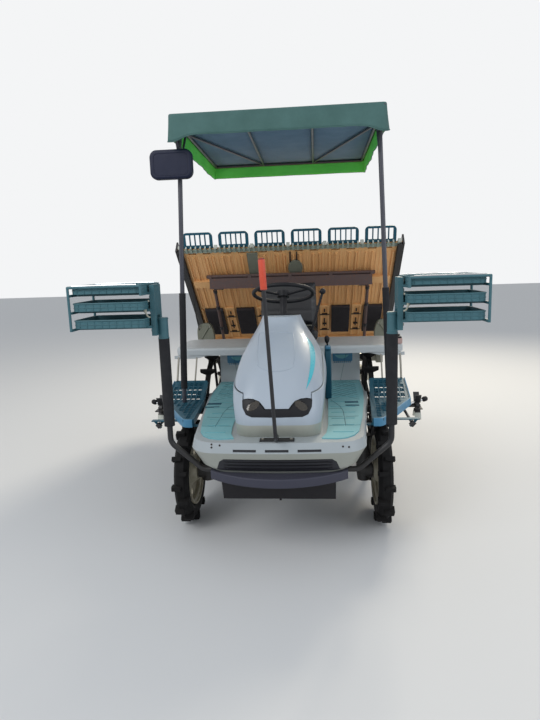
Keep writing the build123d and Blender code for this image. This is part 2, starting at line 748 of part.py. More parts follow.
def hood_lid():
    wall = hood_form(0) - hood_form(SKIN, 2)
    wall &= block(-400, 400, -1500, HOOD_REAR_Y, DECK_Z, HOOD_TOP_Z)
    lid = (wall & lid_zone(PANEL_GAP)) - lamp_band(-PANEL_GAP) - Pos(0, 0, PANEL_GAP) * lamp_band(0)
    lid = lid.solids().sort_by(SortBy.VOLUME)[-1]
    tabs = []
    for side in (-1, 1):
        x = side * 62
        tab = block(x - 6, x + 6, LID_PIN_Y - 11, LID_PIN_Y + 11, LID_PIN_Z, HOOD_TOP_Z - 3)
        tabs.append(tab + cross_rod(x - 6, x + 6, LID_PIN_Y, LID_PIN_Z, 11))
    lid = join([lid] + tabs)
    keep("hood_lid", lid - cross_rod(-80, 80, LID_PIN_Y, LID_PIN_Z, LID_PIN_R + RUN_FIT))


def lamp_outline(side, grow):
    place = Pos(side * LAMP_X, -1300, LAMP_Z) * Rot(90, 0, 0) * Rot(0, 0, -side * LAMP_TILT)
    return place * Ellipse(38 + grow, 20 + grow)


def lamp_bezel():
    band = (hood_form(-NOSE_STEP + 3) - hood_form(NOSE_STEP)) & lamp_band(0.5)
    for side in (-1, 1):
        band -= extrude(lamp_outline(side, SEAT_GAP), amount=150, dir=(0, -1, 0))
    keep("lamp_bezel", band)


def headlamps():
    lens = hood_form(-NOSE_STEP + 5) - hood_form(NOSE_STEP - 2)
    pieces = [extrude(lamp_outline(side, 0), amount=150, dir=(0, -1, 0)) & lens for side in (-1, 1)]
    keep("headlamps", join(pieces))


# Driver's place

def column_axis(distance):
    """A point down the steering column from the wheel's hub."""
    tilt = radians(WHEEL_TILT)
    return (0, WHEEL_HUB_Y - distance * sin(tilt), WHEEL_HUB_Z - distance * cos(tilt))


def dash_cowl():
    """The dark cowl behind the hood, with the column's tube and the lid's hinge pin."""
    side = [(-728, DECK_Z), (-728, 1248), (-700, 1268), (-590, 1228), (-552, 1190), (-580, 1120)]
    side += [(-640, 980), (-640, DECK_Z)]
    cowl = prism_x(side, -140, 140)
    cowl &= prism_y([(-140, DECK_Z), (140, DECK_Z), (118, 1270), (-118, 1270)], -730, -540)
    pieces = [cowl, rod(column_axis(26), column_axis(240), COLUMN_R)]
    for s in (-1, 1):
        x = s * 80
        pieces.append(block(x - 6, x + 6, LID_PIN_Y - 9, -715, LID_PIN_Z - 34, LID_PIN_Z - 2))
        pieces.append(cross_rod(x - 6, x + 6, LID_PIN_Y, LID_PIN_Z, 9))
    pieces.append(cross_rod(-86, 86, LID_PIN_Y, LID_PIN_Z, LID_PIN_R))
    cowl = join(pieces)
    keep("dash_cowl", cowl - rod(column_axis(20), column_axis(120), 12 + RUN_FIT))


def steering_wheel():
    down = Vector(*column_axis(-1)) - Vector(*column_axis(0))
    plane = Plane(origin=column_axis(0), x_dir=(1, 0, 0), z_dir=down)
    rim = Solid.make_torus(WHEEL_RIM_R, 13, plane)
    pieces = [rim, rod(column_axis(-14), column_axis(25), 42), rod(column_axis(24), column_axis(110), 12)]
    for angle in (90, 210, 330):
        x = (WHEEL_RIM_R - 4) * cos(radians(angle))
        y = (WHEEL_RIM_R - 4) * sin(radians(angle))
        tip = plane.from_local_coords(Vector(x, y, 0))
        pieces.append(rod(column_axis(12), tuple(tip), 9))
    keep("steering_wheel", join(pieces))


def shift_lever():
    stem = pipe([(139, -620, 1130), (178, -612, 1150), (262, -585, 1425)], 8, 24)
    foot = block(112, 141.5, -650, -590, 1100, 1160)
    knob = Pos(264, -584, 1436) * Sphere(20)
    shape = join([stem, knob, foot])
    keep("shift_lever", shape - NODES["dash_cowl"])


def seat():
    base = block(-190, 190, SEAT_FRONT_Y + 50, SEAT_REAR_Y - 5, FENDER_TOP, SEAT_LOW)
    base = fillet(base.edges().filter_by(Axis.Z), 30)
    cushion = block(-SEAT_HALF, SEAT_HALF, SEAT_FRONT_Y, SEAT_REAR_Y - 60, SEAT_LOW + SEAT_GAP, SEAT_TOP)
    keep("seat_cushion", fillet(cushion.edges(), 32))
    back = [(SEAT_REAR_Y - 105, SEAT_TOP + SEAT_GAP), (SEAT_REAR_Y - 5, SEAT_TOP + SEAT_GAP)]
    back += [(SEAT_REAR_Y + 20, SEAT_BACK_TOP), (SEAT_REAR_Y - 45, SEAT_BACK_TOP)]
    back_form = prism_x(back, -SEAT_HALF + 15, SEAT_HALF - 15)
    body = fillet(back_form.edges().filter_by(Axis.X).sort_by(Axis.Z)[-2:], 28)
    keep("seat_back", body)
    # The bracket that carries the back
    bracket = [(SEAT_REAR_Y - 20, FENDER_TOP), (SEAT_REAR_Y - 2, FENDER_TOP)]
    bracket += [(SEAT_REAR_Y + 12, SEAT_TOP + 120), (SEAT_REAR_Y - 8, SEAT_TOP + 120)]
    keep("seat_base", base + prism_x(bracket, -70, 70) - back_form)


# Rear body

def rear_cowl():
    top = FENDER_TOP - FENDER_T
    outer = [(COWL_FRONT_Y, DECK_Z), (cowl_front(top), top), (COWL_REAR_Y - FENDER_ROUND, top)]
    outer += [(COWL_REAR_Y, top - FENDER_ROUND), (COWL_REAR_Y, DECK_Z)]
    inner = [(COWL_FRONT_Y + SKIN, DECK_Z - 5), (cowl_front(FENDER_TOP - 12) + SKIN, FENDER_TOP - 12)]
    inner += [(COWL_REAR_Y + 5, FENDER_TOP - 12), (COWL_REAR_Y + 5, DECK_Z - 5)]
    shell = prism_x(outer, -COWL_HALF, COWL_HALF) - prism_x(inner, -COWL_HALF + SKIN, COWL_HALF - SKIN)
    keep("rear_cowl", shell)


def rear_fenders():
    body = block(-FENDER_HALF, FENDER_HALF, FENDER_FRONT_Y, FENDER_REAR_Y, FENDER_LIP_LOW, FENDER_TOP)
    corners = body.edges().filter_by(Axis.Z)
    body = fillet(corners, 120)
    body = fillet(body.faces().sort_by(Axis.Z)[-1].edges(), 20)
    inner = block(-FENDER_HALF + FENDER_T, FENDER_HALF - FENDER_T, FENDER_FRONT_Y + FENDER_T,
                  FENDER_REAR_Y - FENDER_T, FENDER_LIP_LOW - 1, FENDER_TOP - FENDER_T)
    inner = fillet(inner.edges().filter_by(Axis.Z), 114)
    keep("rear_fenders", body - fillet(inner.faces().sort_by(Axis.Z)[-1].edges(), FENDER_ROUND))


def step_profile(low, high, y0, y1):
    """The step's side profile, level at first and then rising to the rear wheel."""
    rise = STEP_RISE
    return [(y0, high), (y0, low), (STEP_BEND_Y, low), (y1, low + rise), (y1, high + rise), (STEP_BEND_Y, high)]


def step_inner(y):
    """The step's inner edge, which follows the deck."""
    share = (y - STEP_FRONT_Y) / (STEP_REAR_Y - STEP_FRONT_Y)
    return STEP_IN_FRONT + (STEP_IN_REAR - STEP_IN_FRONT) * share


def step_outer(y):
    """The step's outer edge, which spreads from its nose to its full width."""
    share = min(1, (y - STEP_FRONT_Y) / (STEP_WIDE_Y - STEP_FRONT_Y))
    return STEP_NOSE + (STEP_OUT - STEP_NOSE) * share


def step_outline(inset):
    return [(STEP_IN_REAR + inset, STEP_REAR_Y - inset), (STEP_IN_FRONT + inset, STEP_FRONT_Y + inset),
            (STEP_NOSE - inset / 2, STEP_FRONT_Y + inset), (STEP_OUT - inset, STEP_WIDE_Y + inset / 2),
            (STEP_OUT - inset, STEP_REAR_Y - inset)]


def side_step():
    """The mesh step on +X: a rounded frame with a slotted tread."""
    low = DECK_Z - STEP_H
    solid = prism_x(step_profile(low, DECK_Z, STEP_FRONT_Y, STEP_REAR_Y), STEP_IN_FRONT, STEP_OUT)
    plan = prism_z(step_outline(0), low - 10, DECK_Z + STEP_RISE + 10)
    plan = fillet(plan.edges().filter_by(Axis.Z), 22)
    solid &= plan
    pocket = prism_x(step_profile(low - 2, DECK_Z - 12, STEP_FRONT_Y, STEP_REAR_Y), STEP_IN_FRONT, STEP_OUT)
    pocket &= prism_z(step_outline(20), low - 20, DECK_Z + STEP_RISE + 10)
    pad = block(POST_FOOT_X - 34, POST_FOOT_X + 34, POST_Y - 30, POST_Y + 30, low, DECK_Z)
    solid -= pocket
    cuts = []
    for row in range(12):
        y = STEP_FRONT_Y + 66 + row * 58
        x = step_inner(y) + 44
        while x < step_outer(y - 23) - 34:
            if abs(y - POST_Y) > 54 or abs(x - POST_FOOT_X) > 52:
                cuts.append(block(x - 13, x + 13, y - 23, y + 23, low - 10, DECK_Z + STEP_RISE + 20))
            x += 36
    solid -= cuts
    bar = block(448, STEP_NOSE - 4, STEP_FRONT_Y + 14, STEP_FRONT_Y + 50, low - 6, low)
    return join([solid, pad & prism_z(step_outline(4), low, DECK_Z), bar])


# Canopy

def canopy_top(y):
    """Height of the canopy's outside at a place along the machine."""
    share = (y - CANOPY_FRONT_Y) / (CANOPY_REAR_Y - CANOPY_FRONT_Y)
    return CANOPY_FRONT_Z + (CANOPY_REAR_Z - CANOPY_FRONT_Z) * share


def canopy_cover():
    """A fabric cover as a closed tray: a sloping top and a valance all round, open below."""
    y0, y1, t = CANOPY_FRONT_Y, CANOPY_REAR_Y, CLOTH_T
    outer = [(y0, canopy_top(y0) - VALANCE), (y0, canopy_top(y0)), (y1, canopy_top(y1))]
    outer.append((y1, canopy_top(y1) - VALANCE))
    inner = [(y0 + t, canopy_top(y0) - VALANCE - 5), (y0 + t, canopy_top(y0) - t)]
    inner += [(y1 - t, canopy_top(y1) - t), (y1 - t, canopy_top(y1) - VALANCE - 5)]
    cover = prism_x(outer, -CANOPY_HALF, CANOPY_HALF)
    keep("canopy_cover", cover - prism_x(inner, -CANOPY_HALF + t, CANOPY_HALF - t))


def canopy_frame():
    """Two posts, the top rectangle, its long ribs and diagonals, and a pair of stays on each post."""
    drop = CLOTH_T + CANOPY_TUBE_R + 1
    side_x = CANOPY_HALF - drop
    y0, y1 = CANOPY_FRONT_Y + drop, CANOPY_REAR_Y - drop

    def under(x, y):
        return (x, y, canopy_top(y) - drop)

    pieces = [rod(under(-side_x, y0), under(side_x, y0), CANOPY_TUBE_R)]
    pieces.append(rod(under(-side_x, y1), under(side_x, y1), CANOPY_TUBE_R))
    for side in (-1, 1):
        pieces.append(rod(under(side * side_x, y0), under(side * side_x, y1), CANOPY_TUBE_R))
        for y in (y0, y1):
            pieces.append(Pos(*under(side * side_x, y)) * Sphere(CANOPY_TUBE_R))
        pieces.append(rod(under(side * 215, y0), under(side * 215, y1), CANOPY_TUBE_R - 3))
        pieces.append(rod(under(side * 215, y1), under(side * side_x, POST_Y + 260), CANOPY_TUBE_R - 4))
        foot = (side * POST_FOOT_X, POST_Y, DECK_Z)
        head = (side * POST_HEAD_X, POST_Y, canopy_top(POST_Y) - drop)
        pieces.append(rod(foot, head, POST_R))
        for reach in (-110, 240):
            start = (side * (POST_HEAD_X + 5), POST_Y, 2270)
            pieces.append(rod(start, under(side * side_x, POST_Y + reach), 8))
    frame = join(pieces)
    floor = block(-CANOPY_HALF - 200, CANOPY_HALF + 200, POST_Y - 60, POST_Y + 60, DECK_Z - 20, DECK_Z)
    keep("canopy_frame", frame - floor)


def post_x(z):
    """Where the leaning canopy post is at a height."""
    share = (z - DECK_Z) / (canopy_top(POST_Y) - DECK_Z)
    return POST_FOOT_X + (POST_HEAD_X - POST_FOOT_X) * share


def post_sleeves():
    """Black foam sleeves on the canopy posts and black covers on the rack posts."""
    pieces = []
    for side in (-1, 1):
        low = (side * post_x(800), POST_Y, 800)
        high = (side * post_x(1450), POST_Y, 1450)
        pieces.append(rod(low, high, POST_R + 7))
        x = side * RACK_POST_X
        pieces.append(rod((x, RACK_POST_Y, 740), (x, RACK_POST_Y, RACK_SLEEVE_Z - SEAT_GAP), RACK_GRIP_R))
    keep("post_sleeves", join(pieces) - NODES["canopy_frame"] - NODES["rack_posts"])


def mirror_unit():
    """The rear-view mirror on the post of the driver's right side, on two short arms."""
    house = block(MIRROR_X - MIRROR_HALF_W, MIRROR_X + MIRROR_HALF_W, POST_Y - MIRROR_FRONT,
                  POST_Y - MIRROR_BACK, MIRROR_Z - MIRROR_HALF_H, MIRROR_Z + MIRROR_HALF_H)
    house = fillet(house.edges().filter_by(Axis.Y), MIRROR_ROUND)
    house = fillet(house.faces().sort_by(Axis.Y)[0].edges(), MIRROR_EDGE)
    pieces = [house]
    for z in (MIRROR_Z - MIRROR_ARM_RISE, MIRROR_Z + MIRROR_ARM_RISE):
        start = (-post_x(z) + 2, POST_Y, z)
        pieces.append(rod(start, (MIRROR_X, POST_Y - MIRROR_BACK - MIRROR_ARM_R, z), MIRROR_ARM_R))
        clamp_x = start[0] - 2
        pieces.append(rod((clamp_x, POST_Y, z - 12), (clamp_x, POST_Y, z + 12), POST_R + MIRROR_ARM_R))
    keep("mirror", join(pieces) - NODES["canopy_frame"])


def centre_pole():
    """The sighting pole at the nose: its foot on the deck, its rod and the sleeve at its tip."""
    top_z = DECK_Z + POLE_PLATE_T
    foot = block(-POLE_PLATE_HALF, POLE_PLATE_HALF, DECK_FRONT_Y + 22, POLE_PLATE_BACK_Y, DECK_Z, top_z)
    arm = prism_x([(POLE_ARM_Y, top_z), (POLE_ARM_Y, DECK_Z + 30), (POLE_Y - 12, POLE_FOOT_Z + 34),
                   (POLE_Y - 12, POLE_FOOT_Z), (POLE_ARM_Y - 30, top_z)], -POLE_ARM_HALF, POLE_ARM_HALF)
    bottom = (0, POLE_Y, POLE_FOOT_Z)
    top = (-POLE_LEAN, POLE_Y, POLE_TOP_Z)
    share = 1 - POLE_GRIP_L / (POLE_TOP_Z - POLE_FOOT_Z)
    grip = (-POLE_LEAN * share, POLE_Y, POLE_TOP_Z - POLE_GRIP_L)
    pieces = [foot, arm, rod(bottom, top, POLE_R), rod(grip, top, POLE_SLEEVE_R)]
    keep("centre_pole", join(pieces))


# Spare seedling racks

def rack_posts():
    """One bent tube that carries both racks, from post to post below the rails."""
    half = [(RACK_POST_X, RACK_POST_Y, RACK_POST_TOP - 60), (RACK_POST_X, RACK_POST_Y, RACK_BEND_Z),
            (CRADLE_X, RACK_POST_Y, CRADLE_Z)]
    path = half + [(-x, y, z) for x, y, z in reversed(half)]
    keep("rack_posts", pipe(path, RACK_POST_R, 70))


def rack_frame():
    """On +X: the turning sleeve on the post, the upright plate, the lever and the rails."""
    x, y = RACK_POST_X, RACK_POST_Y
    sleeve = rod((x, y, RACK_SLEEVE_Z), (x, y, RACK_POST_TOP - 46), RACK_POST_R + 12)
    plate = block(x + 20, x + 46, y - 62, y + 62, 1262, 1535)
    plate -= block(x + 10, x + 60, y - 30, y + 30, 1330, 1370)
    pieces = [sleeve, plate, block(x, x + 30, y - 12, y + 12, 1262, 1340)]
    for z in TRAY_LEVELS:
        for dy in (-70, 70):
            pieces.append(block(x + 40, RACK_REACH - 30, y + dy - 7, y + dy + 7, z - 14, z))
        pieces.append(block(x + 40, x + 52, y - 77, y + 77, z - 14, z))
    rail_z = TRAY_LEVELS[-1] + 36
    for dy in (-1, 1):
        edge = y + dy * (TRAY_W / 2 + 12)
        pieces.append(cross_rod(x + 60, RACK_REACH - 14, edge, rail_z, RAIL_ROD_R))
        near, far = sorted((edge, y + dy * 60))
        pieces.append(block(x + 54, x + 68, near, far, rail_z - 50, rail_z - 36.5))
        pieces.append(rod((x + 61, edge, rail_z - 50), (x + 61, edge, rail_z + 6), RAIL_ROD_R))
    loop_x = RACK_REACH - RAIL_ROD_R
    pieces.append(rod((loop_x, y - TRAY_W / 2 - 12, rail_z), (loop_x, y + TRAY_W / 2 + 12, rail_z), RAIL_ROD_R))
    for dy in (-1, 1):
        edge = y + dy * (TRAY_W / 2 + 12)
        pieces.append(rod((loop_x, edge, TRAY_LEVELS[0] - RAIL_ROD_R), (loop_x, edge, rail_z), RAIL_ROD_R))
        pieces.append(Pos(loop_x, edge, rail_z) * Sphere(RAIL_ROD_R))
        pieces.append(cross_rod(RACK_REACH - 16, loop_x, edge, rail_z, RAIL_ROD_R))
    for z in TRAY_LEVELS[:1]:
        pieces.append(rod((loop_x, y - TRAY_W / 2 - 12, z - 7), (loop_x, y + TRAY_W / 2 + 12, z - 7), 7))
        for dy in (-1, 1):
            pieces.append(Pos(loop_x, y + dy * (TRAY_W / 2 + 12), z - 7) * Sphere(7))
    for z in TRAY_LEVELS:
        for dy in (-70, 70):
            pieces.append(block(RACK_REACH - 31, loop_x, y + dy - 7, y + dy + 7, z - 14, z))
        pieces.append(block(loop_x - 6, loop_x + 6, y - TRAY_W / 2 - 16, y + TRAY_W / 2 + 16, z - 14, z - 1))
    frame = join(pieces)
    return frame - rod((x, y, 1230), (x, y, RACK_POST_TOP - 59), RACK_POST_R + RUN_FIT)


def rack_trays():
    """On +X: three seedling trays with lips, ribbed below and slotted."""
    x0 = RACK_POST_X + 56
    x1 = RACK_REACH - 18
    trays = []
    for z in TRAY_LEVELS:
        tray = block(x0, x1, RACK_POST_Y - TRAY_W / 2, RACK_POST_Y + TRAY_W / 2, z, z + TRAY_LIP)
        tray = fillet(tray.edges().filter_by(Axis.Z), 24)
        inner = block(x0 + TRAY_WALL, x1 - TRAY_WALL, RACK_POST_Y - TRAY_W / 2 + TRAY_WALL,
                      RACK_POST_Y + TRAY_W / 2 - TRAY_WALL, z + TRAY_WALL, z + TRAY_LIP + 1)
        tray -= fillet(inner.edges().filter_by(Axis.Z), 20)
        cuts = [block(x0 + 34 + i * 74, x0 + 74 + i * 74, RACK_POST_Y - 50, RACK_POST_Y + 50, z - 1, z + 6)
                for i in range(5)]
        trays.append(tray - cuts)
    return join(trays)


def marker_point(along):
    """A point on the line marker's tilted pivot, up from its middle."""
    tilt = radians(MARKER_TILT)
    return (MARKER_X + along * sin(tilt), MARKER_Y, MARKER_Z + along * cos(tilt))


def line_marker():
    """On +X: the folded line marker with its pivot boss, arm, star wheel and lock knob."""
    pieces = [rod(marker_point(-16), marker_point(16), 17)]
    tip_y = MARKER_Y + MARKER_ARM
    pieces.append(rod((MARKER_X, MARKER_Y, MARKER_Z), (MARKER_X, tip_y + 9, MARKER_Z), 9))
    pieces.append(cross_rod(MARKER_X - 4, STAR_X + 22, tip_y, MARKER_Z, 12))
    pieces.append(cross_rod(STAR_X - 12, STAR_X + 12, tip_y, MARKER_Z, 34))
    for i in range(6):
        fin = block(-20, 20, -3, 3, 28, STAR_R)
        pieces.append(Pos(STAR_X, tip_y, MARKER_Z) * Rot(i * 60 + 30, 0, 0) * fin)
    knob = (STAR_X + 52, tip_y + 14, MARKER_Z + 42)
    pieces.append(rod((MARKER_X, tip_y - 30, MARKER_Z), knob, 6))
    pieces.append(Pos(*knob) * Sphere(15))
    marker = join(pieces)
    return marker - rod(marker_point(-20), marker_point(20), MARKER_PIN_R + RUN_FIT)


def marker_bracket():
    """On +X: the plate under the step's frame with the line marker's tilted pin."""
    top = DECK_Z - STEP_H
    plate = block(STEP_NOSE - 20, MARKER_X + 42, MARKER_Y - 18, MARKER_Y + 18, top - 6, top)
    return plate + rod(marker_point(-22), marker_point(40), MARKER_PIN_R)


# Lift linkage

def link_bar(y, z, x0, x1, half_h):
    """A straight bar between two pivots of the lift linkage, without its bores."""
    angle = LINK_UP
    y1, z1 = polar(y, z, LINK_L, angle)
    up_y = -sin(radians(angle)) * half_h
    up_z = cos(radians(angle)) * half_h
    corners = [(y + up_y, z + up_z), (y1 + up_y, z1 + up_z), (y1 - up_y, z1 - up_z), (y - up_y, z - up_z)]
    bar = prism_x(corners, x0, x1)
    return join([bar, cross_rod(x0, x1, y, z, half_h + 4), cross_rod(x0, x1, y1, z1, half_h + 4)])


def lower_links():
    y1, z1 = polar(LINK_Y, LINK_LOW_Z, LINK_L, LINK_UP)
    pieces = []
    for side in (-1, 1):
        x0, x1 = sorted((side * (LINK_X - LINK_T / 2), side * (LINK_X + LINK_T / 2)))
        pieces.append(link_bar(LINK_Y, LINK_LOW_Z, x0, x1, 24))
        inner, outer = sorted((side * 20, side * 30))
        ey, ez = polar(LINK_Y, LINK_LOW_Z, RAM_EYE - 24, LINK_UP)
        fy, fz = polar(LINK_Y, LINK_LOW_Z, RAM_EYE + 78, LINK_UP)
        up_y, up_z = -sin(radians(LINK_UP)) * 24, cos(radians(LINK_UP)) * 24
        ear = [(ey + up_y, ez + up_z), (fy + up_y, fz + up_z), (fy - up_y, fz - up_z), (ey - up_y, ez - up_z)]
        pieces.append(prism_x(ear, inner, outer))
    cy, cz = polar(LINK_Y, LINK_LOW_Z, RAM_EYE + 62, LINK_UP)
    pieces.append(cross_rod(-LINK_X, LINK_X, cy, cz, 16))
    shape = join(pieces)
    for y, z in ((LINK_Y, LINK_LOW_Z), (y1, z1)):
        shape -= cross_rod(-LINK_X - 40, LINK_X + 40, y, z, LINK_PIN_R + RUN_FIT)
    keep("lower_links", shape)


def upper_link():
    z0 = LINK_LOW_Z + LINK_RISE
    y1, z1 = polar(LINK_Y, z0, LINK_L, LINK_UP)
    shape = link_bar(LINK_Y, z0, -14, 14, 18)
    for y, z in ((LINK_Y, z0), (y1, z1)):
        shape -= cross_rod(-20, 20, y, z, LINK_PIN_R - 2 + RUN_FIT)
    keep("upper_link", shape)


RAM_TO = polar(LINK_Y, LINK_LOW_Z, RAM_EYE, LINK_UP)
RAM_LEN = ((RAM_TO[0] - RAM_Y) ** 2 + (RAM_TO[1] - RAM_Z) ** 2) ** 0.5
RAM_ANGLE = degrees(atan2(RAM_TO[1] - RAM_Z, RAM_TO[0] - RAM_Y))


def ram_point(distance):
    y, z = polar(RAM_Y, RAM_Z, distance, RAM_ANGLE)
    return (0, y, z)


def lift_cylinder():
    barrel = join([rod(ram_point(20), ram_point(RAM_BARREL), RAM_R), cross_rod(-28, 28, RAM_Y, RAM_Z, 24)])
    barrel -= rod(ram_point(36), ram_point(270), RAM_ROD_R + RUN_FIT)
    keep("lift_cylinder", barrel - cross_rod(-30, 30, RAM_Y, RAM_Z, LINK_PIN_R + RUN_FIT))
    piston = rod(ram_point(182), ram_point(RAM_LEN), RAM_ROD_R)
    end = cross_rod(-19.5, 19.5, RAM_TO[0], RAM_TO[1], 19)
    keep("lift_rod", join([piston, end]))


# Planting section

def planting_frame():
    y1, z1 = polar(LINK_Y, LINK_LOW_Z, LINK_L, LINK_UP)
    z2 = z1 + LINK_RISE
    pieces = [cross_rod(-BEAM_HALF, BEAM_HALF, BEAM_Y, BEAM_Z, BEAM_R)]
    for side in (-1, 1):
        x0, x1 = sorted((side * 165, side * 183))
        mast = [(y1 - 22, z1 - 26), (BEAM_Y, BEAM_Z - 28), (BEAM_Y, BEAM_Z + 28), (y1 + 60, z2 - 20)]
        mast += [(y1 + 60, z2 + 30), (y1 + 26, z2 + 30), (y1 + 14, z1 + 40), (y1 - 22, z1 + 26)]
        pieces.append(prism_x(mast, x0, x1))
        x0, x1 = sorted((side * 16, side * 30))
        ear = [(y1 - 20, z2 - 22), (y1 + 56, z2 - 22), (y1 + 56, z2 + 24), (y1 - 20, z2 + 24)]
        pieces.append(prism_x(ear, x0, x1))
    pieces.append(block(-183, 183, y1 + 28, y1 + 58, z2 - 18, z2 + 28))
    pieces.append(cross_rod(-183, 183, y1, z1, LINK_PIN_R))
    pieces.append(cross_rod(-30, 30, y1, z2, LINK_PIN_R - 2))
    box = block(-85, 85, BEAM_Y - 40, BEAM_Y + 62, BEAM_Z - 60, BEAM_Z + 62)
    pieces.append(fillet(box.edges().filter_by(Axis.X), 18))
    for side in (-1, 1):
        end = block(side * (BEAM_HALF - 30) - 30, side * (BEAM_HALF - 30) + 30, BEAM_Y - 45, BEAM_Y + 45,
                    BEAM_Z - 45, BEAM_Z + 60)
        pieces.append(fillet(end.edges().filter_by(Axis.X), 16))
    keep("planting_frame", join(pieces))


def planting_cases():
    """Three drive cases that run back from the beam to their rotor shafts."""
    pieces = []
    for centre in (-CASE_PITCH, 0, CASE_PITCH):
        side = [(BEAM_Y, BEAM_Z + 40), (ROTOR_Y - 20, ROTOR_Z + 34), (ROTOR_Y - 20, ROTOR_Z - 34)]
        side.append((BEAM_Y, BEAM_Z - 44))
        body = prism_x(side, centre - 28, centre + 28)
        boss = cross_rod(centre - 38, centre + 38, ROTOR_Y, ROTOR_Z, 36)
        bore_r = ROTOR_SHAFT_R + RUN_FIT
        case = join([body, boss]) - cross_rod(centre - 50, centre + 50, ROTOR_Y, ROTOR_Z, bore_r)
        beam_room = block(centre - 100, centre + 100, BEAM_Y - 80, BEAM_Y + BEAM_R + SEAT_GAP, 500, 900)
        pieces.append(case - beam_room)
    pieces[1] -= NODES["planting_frame"]
    keep("planting_cases", join(pieces))


def floats():
    """The centre float and two side floats that level the mud, each hung from the beam on a bracket."""
    pieces = []
    # Centre x, half width in front, front Y
    for centre, half, front in ((-CASE_PITCH, 120, 760), (0, 230, 690), (CASE_PITCH, 120, 760)):
        plan = [(centre - half, front + 60), (centre - half + 50, front), (centre + half - 50, front)]
        plan += [(centre + half, front + 60), (centre + half, 1120), (centre + FLOAT_TAIL_HALF, 1180)]
        plan += [(centre + FLOAT_TAIL_HALF, HALF_LENGTH), (centre - FLOAT_TAIL_HALF, HALF_LENGTH)]
        plan += [(centre - FLOAT_TAIL_HALF, 1180), (centre - half, 1120)]
        side = [(front, FLOAT_LOW + 50), (front + 70, FLOAT_LOW + 8), (front + 150, FLOAT_LOW)]
        side += [(HALF_LENGTH, FLOAT_LOW), (HALF_LENGTH, FLOAT_TAIL_TOP - 14)]
        side.append((HALF_LENGTH - 30, FLOAT_TAIL_TOP))
        side += [(1190, FLOAT_TAIL_TOP), (1130, FLOAT_TOP), (front + 40, FLOAT_TOP)]
        body = prism_z(plan, FLOAT_LOW - 5, FLOAT_TOP + 5) & prism_x(side, centre - half, centre + half)
        ear_top = BEAM_Z - BEAM_R - SEAT_GAP
        ears = block(centre - 14, centre + 14, BEAM_Y - 45, BEAM_Y + 25, FLOAT_TOP - 1, ear_top)
        pieces.append(join([body, ears]))
    keep("floats", join(pieces) - NODES["planting_frame"])


def rotor(centre):
    """A shaft with a planting box on each side; every box carries two forked arms."""
    pieces = [cross_rod(centre - 98, centre + 98, ROTOR_Y, ROTOR_Z, ROTOR_SHAFT_R)]
    for side in (-1, 1):
        x0, x1 = sorted((centre + side * 56, centre + side * 90))
        lobe = [cross_rod(x0, x1, 0, 0, 38), block(x0, x1, -80, 80, -30, 30)]
        lobe += [cross_rod(x0, x1, -80, 0, 30), cross_rod(x0, x1, 80, 0, 30)]
        for end in (-1, 1):
            a0, a1 = sorted((centre + side * 90, centre + side * 124))
            lobe.append(cross_rod(a0, a1, end * 80, 0, 24))
            lobe.append(block(a0, a1, end * 80 - 16, end * 80 + 16, min(0, end * 80), max(0, end * 80)))
            for prong in (152, 162):
                p0, p1 = sorted((centre + side * prong, centre + side * (prong + 4)))
                blade = [(end * 84, end * 70), (end * 96, end * 40)]
                blade += [(end * 136, end * 78), (end * 110, end * 118)]
                lobe.append(prism_x(blade, p0 - 4, p1))
            c0, c1 = sorted((centre + side * 120, centre + side * 163))
            lobe.append(block(c0, c1, end * 88 - 8, end * 88 + 8, end * 58 - 10, end * 58 + 10))
        pieces.append(Pos(0, ROTOR_Y, ROTOR_Z) * Rot(20, 0, 0) * join(lobe))
    return join(pieces)


# Seedling table

def row_centres():
    """The X of each row's middle."""
    return [(row - (ROWS - 1) / 2) * ROW_PITCH for row in range(ROWS)]


def seedling_table():
    """The sloping ochre table: a panel with ribs below and slots near its top."""
    pieces = [slope_bar(-TABLE_HALF, TABLE_HALF, 0, TABLE_LEN, 0, TABLE_T)]
    for centre in row_centres():
        for x in [centre + place for place in RIB_PLACES]:
            pieces.append(slope_bar(x - RIB_HALF, x + RIB_HALF, RIB_START, BELT_START - RIB_H - 2, -RIB_H, 1))
    pieces.append(slope_bar(-TABLE_HALF + 60, TABLE_HALF - 60, GUIDE_START, GUIDE_END, -GUIDE_DROP, 1))
    pieces.append(slope_bar(-TABLE_HALF, TABLE_HALF, TABLE_LEN - TABLE_FOOT, TABLE_LEN, -GUIDE_DROP, 1))
    cuts = []
    for centre in row_centres():
        for x in (centre - SLOT_X, centre + SLOT_X):
            cuts.append(slope_bar(x - SLOT_HALF, x + SLOT_HALF, SLOT_START, SLOT_END, -5, TABLE_T + 5))
    keep("seedling_table", join(pieces) - cuts)


def table_dividers():
    """The walls between the rows, on the table's upper face."""
    pieces = []
    for i in range(ROWS + 1):
        x = (i - ROWS / 2) * ROW_PITCH
        top = TABLE_T + WALL_H
        pieces.append(slope_bar(x - RIB_HALF, x + RIB_HALF, DIVIDER_START, TABLE_LEN, TABLE_T, top))
    keep("table_dividers", join(pieces))


def table_sides():
    rail = slope_bar(TABLE_HALF, TABLE_HALF + SIDE_T, -SIDE_OVER, TABLE_LEN, -SIDE_LOW, SIDE_HIGH)
    keep("table_sides", both(rail))


def table_belts():
    pieces = []
    for centre in row_centres():
        belt = slope_bar(centre - BELT_W / 2, centre + BELT_W / 2, BELT_START, BELT_END, -BELT_DROP, 0)
        pieces.append(fillet(belt.edges().filter_by(Axis.X), BELT_ROUND))
    keep("table_belts", join(pieces))


